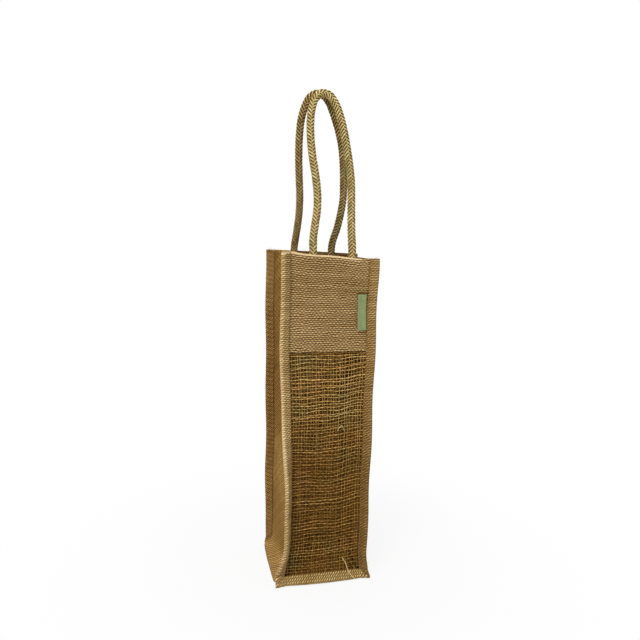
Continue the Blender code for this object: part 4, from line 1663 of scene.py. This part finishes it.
    def build(self) -> None:
        """Weave the net."""
        rng = np.random.default_rng(self.seed)
        inner = FORM.half - self.side_margin
        columns = np.linspace(-inner, inner, self.uprights)
        columns = columns + rng.normal(0.0, self.upright_stray, self.uprights)
        foot, head = self.row_span
        rows = np.linspace(foot, self.top + self.lap - head, self.courses)
        rows = np.sort(rows + rng.normal(0.0, self.course_stray, self.courses))
        strands = Strands()
        self.lay_uprights(strands, rng, columns, rows)
        self.lay_courses(strands, rng, columns, rows)
        piece = self.trees.grow("window_net_twines", strands.mesh("net_lines"), self.trees.sweep, {
            "Sides": 6, "Flatness": 1.0, "Pitch": 0.003, "Material": self.wardrobe[Look.TWINE]})
        put_on_bag(piece, Slot.NET, "window_net")


@dataclass
class RopeHandle:
    """A braided jute rope: a loop above the rim and two ends sewn inside the hem."""

    label: str
    side_y: int
    loop: Body
    look: Look
    route: tuple[Pair, ...]
    wardrobe: Wardrobe
    trees: NodeTrees
    diameter: float = 0.0076
    hinge_height: float = 0.3544
    hinge_offset: float = 0.0366
    top_offset: float = 0.0044
    end_depth: float = 0.0290
    end_shares: Triple = (0.0, 0.35, 0.7)
    strands: int = 12
    pitch: float = 0.0216
    core: float = 0.00315
    swing: float = 0.00060
    strand_width: float = 0.00112
    strand_flatness: float = 0.55
    flat_wide: float = 1.24
    flat_thin: float = 0.58
    flat_depths: Pair = (0.001, 0.011)
    knuckle: Pair = (0.343, 0.372)
    facing: float = math.pi
    spacing: float = 0.0010
    strand_swell: Triple = (0.08, 180.0, 1.0)
    strand_shades: Pair = (0.82, 0.36)
    frays: tuple[float, ...] = ()
    fray_hairs: int = 9
    fray_lift: float = 0.0027
    fray_reach: tuple[int, int] = (3, 6)
    fray_arc: Pair = (0.1, 2.6)
    fray_lean: Pair = (-0.9, 0.5)
    fray_bow: Pair = (0.0008, 0.0020)
    fray_radius: Pair = (0.00025, 0.0006)
    fray_shades: Pair = (0.55, 1.1)
    hairs: int = 150
    hair_radius: float = 0.00008
    hair_length: Pair = (0.0012, 0.0036)
    hair_ahead: float = 0.7
    hair_lean: Pair = (-0.8, 0.8)
    hair_lift: float = 0.0006
    hair_rise: Pair = (0.0, 0.0011)
    hair_bend: float = 0.7
    hair_shade: float = 1.1
    hair_reach: int = 3
    hair_margin: int = 8
    seed: int = 5

    def path(self) -> Grid:
        """Follow the rope's centreline, from one sewn end over the loop to the other.

        Returns:
            Its points.
        """
        hinge = np.array((0.0, self.side_y * self.hinge_offset, self.hinge_height))
        lean = math.asin((self.hinge_offset - self.top_offset) / max(up for _, up in self.route))
        inwards = np.array((0.0, -self.side_y * math.sin(lean), math.cos(lean)))
        loop = [hinge + np.array((across, 0.0, 0.0)) + up * inwards for across, up in self.route]
        foot = FORM.height - self.end_depth
        rises = [foot + share * (self.hinge_height - foot) for share in self.end_shares]
        first, last = (
            [np.array((across, hinge[1], rise)) for rise in rises]
            for across in (self.route[0][0], self.route[-1][0])
        )
        return self.smooth(np.array(first + loop + last[::-1]), self.spacing)

    @staticmethod
    def smooth(points: Grid, spacing: float, fineness: int = 1200) -> Grid:
        """Draw a smooth curve through a route's own points.

        Args:
            points: The route.
            spacing: The distance between the curve's points.
            fineness: How many points it is drawn with before they are spaced evenly.

        Returns:
            Evenly spaced points on the curve.
        """
        at = run_along(points)
        fine = np.linspace(0.0, at[-1], fineness)
        curve = np.stack([through(tuple(at), tuple(points[:, axis]), fine) for axis in range(3)], 1)
        run = run_along(curve)
        even = np.linspace(0.0, run[-1], round(run[-1] / spacing) + 1)
        return np.stack([np.interp(even, run, curve[:, axis]) for axis in range(3)], 1)

    @staticmethod
    def frames(path: Grid) -> tuple[Grid, Grid]:
        """Set up two directions square to the path, turning with it as little as they can.

        Args:
            path: The path's points.

        Returns:
            The unit directions at each point.
        """
        tangents = unit(np.gradient(path, axis=0))
        side = np.array((1.0, 0.0, 0.0))
        sides = []
        for tangent in tangents:
            side = unit(side - tangent * (side @ tangent))
            sides.append(side)
        return np.array(sides), np.cross(tangents, sides)

    def braid(self, path: Grid) -> Strands:
        """Braid strands about a path, pressed flat where it is sewn.

        Args:
            path: The path's points.

        Returns:
            The strands, the frayed places and the loose hairs.
        """
        run = run_along(path)
        sides, others = self.frames(path)
        flat = rising(FORM.height - path[:, 2], *self.flat_depths)
        squeeze = 1.0 + flat[:, None] * (np.array((self.flat_wide, self.flat_thin, 1.0)) - 1.0)
        made = Strands()
        for index in range(self.strands):
            way = 1.0 if index % 2 == 0 else -1.0
            angle = 2.0 * np.pi * (index / self.strands + way * run / self.pitch)
            radius = self.core + way * self.swing * np.sin(2.0 * angle + self.facing)
            out = sides * np.cos(angle)[:, None] + others * np.sin(angle)[:, None]
            swell = 1.0 + strand_wave(self.strand_swell, run, index)
            dark, more = self.strand_shades
            made.add(path + out * squeeze * radius[:, None], self.strand_width * swell, out,
                     dark + more * (index * 7 % 5) / 4)
        rng = np.random.default_rng(self.seed + self.side_y)
        for rise in self.frays:
            self.fray(made, rng, path, (sides, others), rise)
        for place in rng.integers(self.hair_margin, len(path) - self.hair_margin, self.hairs):
            self.hair(made, rng, path, (sides, others), squeeze, place)
        return made

    def fray(
        self, made: Strands, rng: np.random.Generator, path: Grid, frames: tuple[Grid, Grid],
        rise: float,
    ) -> None:
        """Fray the rope's right side.

        Args:
            made: What the loose yarns are added to.
            rng: What varies them.
            path: The rope's path.
            frames: Its frames.
            rise: The frayed place's height over the hinge.
        """
        sides, others = frames
        away = np.abs(path[:, 2] - self.hinge_height - rise) + (path[:, 0] < 0.0)
        place = int(np.argmin(away))
        for _ in range(self.fray_hairs):
            reach = int(rng.integers(*self.fray_reach))
            arc = path[place - reach:place + reach + 1]
            bow = np.sin(np.linspace(*self.fray_arc, len(arc)))[:, None]
            out = unit(sides[place] + rng.uniform(*self.fray_lean) * others[place])
            made.add(arc + out * (self.fray_lift + rng.uniform(*self.fray_bow) * bow),
                     rng.uniform(*self.fray_radius), out, rng.uniform(*self.fray_shades))

    def hair(
        self, made: Strands, rng: np.random.Generator, path: Grid, frames: tuple[Grid, Grid],
        squeeze: Grid, place: int,
    ) -> None:
        """Grow one loose hair.

        Args:
            made: What it is added to.
            rng: What varies it.
            path: The rope's path.
            frames: Its frames.
            squeeze: How far the rope is pressed flat at each of its points.
            place: The point that the hair grows from.
        """
        sides, others = frames
        angle = rng.uniform(0.0, 2.0 * np.pi)
        out = sides[place] * np.cos(angle) + others[place] * np.sin(angle)
        ahead = path[place + self.hair_reach] - path[place - self.hair_reach]
        ahead = ahead / (2 * self.hair_reach * self.spacing)
        lean = np.cross(ahead, out)
        ahead = ahead * rng.choice((-1.0, 1.0))
        share = np.linspace(0.0, 1.0, 5)[:, None]
        length = rng.uniform(*self.hair_length)
        line = path[place] + out * squeeze[place] * self.core
        way = self.hair_ahead * ahead + rng.uniform(*self.hair_lean) * lean
        line = line + share * length * way
        rise = rng.uniform(*self.hair_rise) * share ** self.hair_bend
        made.add(line + out * (self.hair_lift + rise), self.hair_radius, out, self.hair_shade)

    def build(self) -> None:
        """Braid the rope, and hide the model's handle parts that it stands for."""
        path = self.path()
        name = self.label + "_rope"
        piece = self.trees.grow(name, self.braid(path).mesh(name + "_lines"), self.trees.sweep, {
            "Sides": 8, "Flatness": self.strand_flatness, "Pitch": 0.0035,
            "Material": self.wardrobe[self.look]})
        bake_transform(piece)
        node = self.label + "_handle"
        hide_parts(node, node + "_left_end", node + "_right_end")


FRONT_ROUTE = (
    (-0.0168, 0.0000), (-0.0165, 0.0100), (-0.0142, 0.0250), (-0.0120, 0.0380),
    (-0.0111, 0.0500), (-0.0114, 0.0620), (-0.0129, 0.0770), (-0.0150, 0.0920),
    (-0.0165, 0.1090), (-0.0167, 0.1260), (-0.0150, 0.1420), (-0.0108, 0.1543),
    (-0.0045, 0.1601), (0.0032, 0.1590), (0.0099, 0.1505), (0.0147, 0.1373),
    (0.0182, 0.1220), (0.0209, 0.1050), (0.0233, 0.0860), (0.0245, 0.0680),
    (0.0242, 0.0500), (0.0237, 0.0310), (0.0235, 0.0130), (0.0237, 0.0000),
)
BACK_ROUTE = (
    (-0.0222, 0.0000), (-0.0212, 0.0110), (-0.0199, 0.0230), (-0.0190, 0.0360),
    (-0.0192, 0.0560), (-0.0212, 0.0780), (-0.0228, 0.1010), (-0.0231, 0.1210),
    (-0.0219, 0.1370), (-0.0187, 0.1488), (-0.0141, 0.1575), (-0.0078, 0.1613),
    (-0.0006, 0.1602), (0.0058, 0.1543), (0.0114, 0.1437), (0.0163, 0.1325),
    (0.0208, 0.1200), (0.0244, 0.1060), (0.0270, 0.0890), (0.0288, 0.0700),
    (0.0295, 0.0540), (0.0281, 0.0390), (0.0250, 0.0210), (0.0216, 0.0085),
    (0.0205, 0.0000),
)


@dataclass
class Stitching:
    """The sewing thread along the hem and along every upright flange."""

    wardrobe: Wardrobe
    trees: NodeTrees
    hem_level: float = 0.3150
    hem_end: float = 0.0378
    end_margin: float = 0.002
    spacing: float = 0.002
    out: float = 0.0034
    stand: float = 0.00010
    step: float = 0.0034
    length: float = 0.0024
    radius: float = 0.00022

    def hem(self, side_y: int) -> Grid:
        """Draw the line of the hem's stitches.

        Args:
            side_y: -1 for the front and 1 for the back.

        Returns:
            Points along it.
        """
        across = steps(-self.hem_end, self.hem_end, self.spacing)
        line = FORM.panel(side_y, across, np.array((self.hem_level - FORM.seam_level,)))[0]
        line[:, 1] += side_y * (CLOTH.layer + CLOTH.half_thickness + self.stand)
        return FORM.settle(line)

    def flange(self, side_x: int, side_y: int, face: float) -> Grid:
        """Draw the line of the stitches on one face of an upright flange.

        Args:
            side_x: -1 for the left and 1 for the right.
            side_y: -1 for the front and 1 for the back.
            face: -1 or 1 for the flange's two faces.

        Returns:
            Points along it.
        """
        seam = FORM.seam(side_x, side_y)
        heights = steps(FORM.seam_level + self.end_margin, FORM.height - self.end_margin,
                        self.spacing)
        runs = seam.reach(heights)
        line = FORM.root(seam, heights) + runs * self.out
        normals = unit(np.cross(unit(np.gradient(line, axis=0)), runs))
        away = Bindings.outer + self.stand + CLOTH.relief
        return FORM.settle(line + normals * face * away)

    def build(self) -> None:
        """Sew every line."""
        lines = Strands()
        for side_y in (-1, 1):
            lines.add(self.hem(side_y), self.radius, (0.0, side_y, 0.0))
            for side_x in (-1, 1):
                for face in (-1.0, 1.0):
                    lines.add(self.flange(side_x, side_y, face), self.radius, (0.0, 0.0, 1.0))
        piece = self.trees.grow("stitches", lines.mesh("stitch_lines"), self.trees.stitches, {
            "Step": self.step, "Length": self.length, "Radius": self.radius,
            "Material": self.wardrobe[Look.THREAD]})
        put_on_bag(piece, Slot.BINDING)


@dataclass
class LooseFibres:
    """Short hairs that stand off the cloth, frayed strip ends, and two long straws."""

    wardrobe: Wardrobe
    trees: NodeTrees
    density: float = 9000.0
    length: float = 0.0032
    radius: float = 0.00006
    rim_depth: float = 0.012
    outer_reach: float = 0.0455
    lowest: float = 0.008
    seed: int = 3
    tufts: int = 9
    tuft_span: Pair = (0.002, 0.0115)
    tuft_sink: float = 0.0006
    tuft_lean: float = 0.45
    tuft_length: Pair = (0.0008, 0.0026)
    tuft_curl: float = 0.0006
    tuft_radius: float = 0.00011
    tuft_shade: float = 0.9
    straw_shade: float = 1.15
    straw_spacing: float = 0.0008
    straw_radius: float = 0.00042
    caret_radius: float = 0.00026
    straw: tuple[Triple, ...] = (
        (0.0206, -0.0432, 0.0249), (0.0227, -0.0438, 0.0215), (0.0244, -0.0442, 0.0186),
        (0.0259, -0.0446, 0.0146), (0.0265, -0.0452, 0.0118), (0.0274, -0.0466, 0.0101),
        (0.0282, -0.0479, 0.0087), (0.0304, -0.0504, 0.0062), (0.0330, -0.0524, 0.0039),
    )
    caret: tuple[Triple, ...] = (
        (0.0120, -0.0426, 0.1670), (0.0142, -0.0430, 0.1702), (0.0159, -0.0432, 0.1724),
        (0.0176, -0.0430, 0.1696), (0.0198, -0.0426, 0.1651),
    )

    def patch(self, pieces: list[bpy.types.Object]) -> bpy.types.Mesh:
        """Gather the faces that carry hairs, at the rim and on the flanges.

        Args:
            pieces: The pieces that they are taken from.

        Returns:
            One mesh of the faces.
        """
        points, faces, start = [], [], 0
        for piece in pieces:
            mesh = piece.data
            places = np.empty((len(mesh.vertices), 3), dtype=np.float32)
            mesh.vertices.foreach_get("co", places.ravel())
            corners = np.empty(len(mesh.loops), dtype=np.int32)
            mesh.loops.foreach_get("vertex_index", corners)
            quads = corners.reshape(-1, 4)
            middle = places[quads].mean(axis=1)
            kept = middle[:, 2] > FORM.height - self.rim_depth
            kept |= np.abs(middle[:, :2]).max(1) > self.outer_reach
            points.append(places)
            faces.append(quads[kept & (middle[:, 2] > self.lowest)] + start)
            start += len(places)
        patch = bpy.data.meshes.new("hairy_cloth")
        patch.from_pydata(np.concatenate(points).tolist(), [], np.concatenate(faces).tolist())
        return patch

    def straws(self) -> Strands:
        """Lay the long straws and the frayed ends of the strips at the rim.

        Returns:
            Their lines.
        """
        rng = np.random.default_rng(self.seed)
        made = Strands()
        for route, thick in ((self.straw, self.straw_radius), (self.caret, self.caret_radius)):
            line = RopeHandle.smooth(np.array(route), self.straw_spacing)
            made.add(line, thick, (0.0, -1.0, 0.0), self.straw_shade)
        share = np.linspace(0.0, 1.0, 4)[:, None]
        for seam in FORM.seams:
            run = seam.reach(np.array(FORM.height))
            root = FORM.root(seam, np.array(FORM.height)) - (0.0, 0.0, self.tuft_sink)
            for _ in range(self.tufts):
                foot = root + run * rng.uniform(*self.tuft_span)
                lean = np.array((*rng.normal(0.0, self.tuft_lean, 2), 1.0))
                lean = lean * rng.uniform(*self.tuft_length)
                curl = rng.normal(0.0, self.tuft_curl, 3) * share ** 2
                made.add(FORM.settle(foot + lean * share + curl), self.tuft_radius,
                         (1.0, 0.0, 0.0), self.tuft_shade)
        return made

    def build(self, pieces: list[bpy.types.Object]) -> None:
        """Grow the hairs on some pieces, and lay the straws.

        Args:
            pieces: The pieces that carry hairs.
        """
        hairs = self.trees.grow("loose_hairs", self.patch(pieces), self.trees.fibres, {
            "Density": self.density, "Length": self.length, "Radius": self.radius,
            "Seed": self.seed, "Material": self.wardrobe[Look.FIBRE]})
        straws = self.trees.grow("straws", self.straws().mesh("straw_lines"), self.trees.sweep, {
            "Sides": 6, "Flatness": 1.0, "Pitch": 0.003, "Material": self.wardrobe[Look.FIBRE]})
        for piece in (hairs, straws):
            put_on_bag(piece, Slot.PANEL)


@dataclass
class Label:
    """The blank folded ribbon on the header, sewn at its top and loose at its fold."""

    wardrobe: Wardrobe
    width: float = 0.0092
    length: float = 0.0385
    side: float = 0.0346
    top: float = 0.3108
    ply: float = 0.00032
    gap: float = 0.0005
    stand: float = 0.0006
    lift: float = 0.0022
    crown: float = 0.00025
    rows: int = 24
    columns: int = 7
    bend_steps: int = 6

    def build(self) -> None:
        """Fold the ribbon."""
        down = np.linspace(0.0, self.length - self.gap, self.rows)
        away = self.lift * (down / self.length) ** 2
        turns = np.linspace(0.0, math.pi, self.bend_steps + 1)[1:-1]
        radius = (self.gap + self.ply) / 2
        front = stacked(away + 2 * radius, -down)
        bend = stacked(away[-1] + radius + radius * np.cos(turns),
                       -down[-1] - radius * np.sin(turns))
        section = np.concatenate((front, bend, stacked(away, -down)[::-1]))
        across = np.linspace(-0.5, 0.5, self.columns) * self.width
        base = -FORM.half - CLOTH.layer - CLOTH.half_thickness - self.stand
        crown = self.crown * np.cos(2.0 * np.pi * across / self.width)
        middle = FORM.settle(stacked(
            self.side + across, base - section[:, :1] + crown, self.top + section[:, 1:]))
        normals = facing(middle, (0.0, -1.0, 0.0))
        # The middle of the fold is its bend, so the front ply settles which way is out.
        if normals[self.rows // 6, self.columns // 2, 1] > 0:
            normals = -normals
        threads = CLOTH.threads(middle.shape[1], middle.shape[0])
        half = np.full(middle.shape[:2], self.ply / 2)
        piece = closed_sheet("label_fold", middle, normals, half, threads)
        piece.data.materials.append(self.wardrobe[Look.LABEL])
        put_on_bag(piece, Slot.LABEL, "label")


@dataclass
class Studio:
    """The camera, the lamps, the floor and the backdrop."""

    target: Triple = (0.0005, 0.0, 0.2772)
    distance: float = 0.6645
    azimuth: float = math.radians(13.25)
    pitch: float = math.radians(8.01)
    roll: float = math.radians(1.31)
    focal_pixels: float = 614.8
    frame_pixels: float = 640.0
    sensor: float = 36.0
    lamp_target: Triple = (0.0, 0.0, 0.2)
    lamps: tuple[tuple[str, Triple, float, float], ...] = (
        ("key", (-0.8, -1.1, 1.8), 1.0, 30.0),
        ("fill", (0.9, -1.4, 0.9), 1.2, 3.0),
        ("top", (0.0, 0.2, 2.1), 0.8, 8.0),
    )
    ambient: float = 0.34
    paper: float = 0.88
    matt: Triple = (0.80, 0.80, 0.80)
    white: Triple = (1.0, 1.0, 1.0)
    shadow_span: Pair = (0.08, 0.36)
    floor_reach: float = 6.0

    def camera(self) -> None:
        """Set the camera where the photograph was taken from."""
        azimuth, pitch = self.azimuth, self.pitch
        ahead = Vector((math.sin(azimuth) * math.cos(pitch), math.cos(azimuth) * math.cos(pitch),
                        -math.sin(pitch)))
        right = Vector((math.cos(azimuth), -math.sin(azimuth), 0.0))
        up = right.cross(ahead)
        turned_right = math.cos(self.roll) * right + math.sin(self.roll) * up
        turned_up = -math.sin(self.roll) * right + math.cos(self.roll) * up
        data = bpy.data.cameras.new("camera")
        data.sensor_width = self.sensor
        data.lens = self.focal_pixels / self.frame_pixels * self.sensor
        camera = link("camera", data)
        turn = Matrix((turned_right, turned_up, -ahead)).transposed().to_4x4()
        camera.matrix_world = Matrix.Translation(Vector(self.target) - ahead * self.distance) @ turn
        bpy.context.scene.camera = camera

    def lamp(self, name: str, place: Triple, size: float, power: float) -> None:
        """Hang one soft lamp and aim it at the bag.

        Args:
            name: The lamp's name.
            place: Where it hangs.
            size: Its width.
            power: Its power in watts.
        """
        data = bpy.data.lights.new(name, "AREA")
        data.shape = "DISK"
        data.size = size
        data.energy = power
        lamp = link(name, data)
        lamp.location = place
        ahead = Vector(self.lamp_target) - Vector(place)
        lamp.rotation_euler = ahead.to_track_quat("-Z", "Y").to_euler()

    @staticmethod
    def seen(bench: Bench) -> Wire:
        """Return 1 for rays that look at the backdrop, straight or through glass and metal."""
        path = bench.add("ShaderNodeLightPath")
        return bench.maths("MAXIMUM", path["Is Camera Ray"], bench.maths(
            "MAXIMUM", path["Is Glossy Ray"], path["Is Transmission Ray"]))

    def world(self) -> None:
        """Make the backdrop white to look at, and a soft grey as a light."""
        world = bpy.data.worlds.new("studio")
        bpy.context.scene.world = world
        world.use_nodes = True
        world.node_tree.nodes.clear()
        bench = Bench(world.node_tree)
        strength = self.seen(bench) * (1.0 - self.ambient) + self.ambient
        background = bench.add("ShaderNodeBackground", {"Color": self.white, "Strength": strength})
        bench.add("ShaderNodeOutputWorld", {"Surface": background})

    def floor(self) -> None:
        """Lay a wide pale floor that keeps the bag's shadow."""
        square = np.array(((-1, -1, 0), (1, -1, 0), (1, 1, 0), (-1, 1, 0)))
        floor = mesh_of("floor", self.floor_reach * square, np.array(((0, 1, 2, 3),)))
        material = bpy.data.materials.new("pale_floor")
        material.use_nodes = True
        material.node_tree.nodes.clear()
        bench = Bench(material.node_tree)
        distance = bench.add("ShaderNodeVectorMath", {0: bench.place()}, operation="LENGTH")
        far = bench.rising(distance, self.shadow_span, self.paper)
        both = bench.add("ShaderNodeMixShader", {
            0: self.seen(bench) * far,
            1: bench.add("ShaderNodeBsdfDiffuse", {"Color": self.matt}),
            2: bench.add("ShaderNodeEmission", {"Color": self.white})})
        bench.add("ShaderNodeOutputMaterial", {"Surface": both})
        floor.data.materials.append(material)

    def build(self) -> None:
        """Set up the studio."""
        self.camera()
        self.world()
        self.floor()
        for lamp in self.lamps:
            self.lamp(*lamp)
        bpy.context.scene.view_settings.view_transform = "Standard"


def main() -> None:
    """Dress the bag."""
    logging.basicConfig(level=logging.INFO, format="%(message)s")
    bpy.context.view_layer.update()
    Studio().build()
    wardrobe = {look: look.value.material() for look in Look}
    trees = NodeTrees()
    RopeHandle("front", -1, Body.FRONT_LOOP, Look.ROPE, FRONT_ROUTE, wardrobe, trees,
               frays=(0.067,)).build()
    RopeHandle("back", 1, Body.BACK_LOOP, Look.SHADED_BACK_ROPE, BACK_ROUTE, wardrobe, trees).build()
    body, bindings = BagBody(wardrobe), Bindings(wardrobe)
    body.build()
    bindings.build()
    Stitching(wardrobe, trees).build()
    LooseFibres(wardrobe, trees).build(body.made + bindings.made)
    WindowNet(wardrobe, trees).build()
    Label(wardrobe).build()


if __name__ == "__main__":
    main()
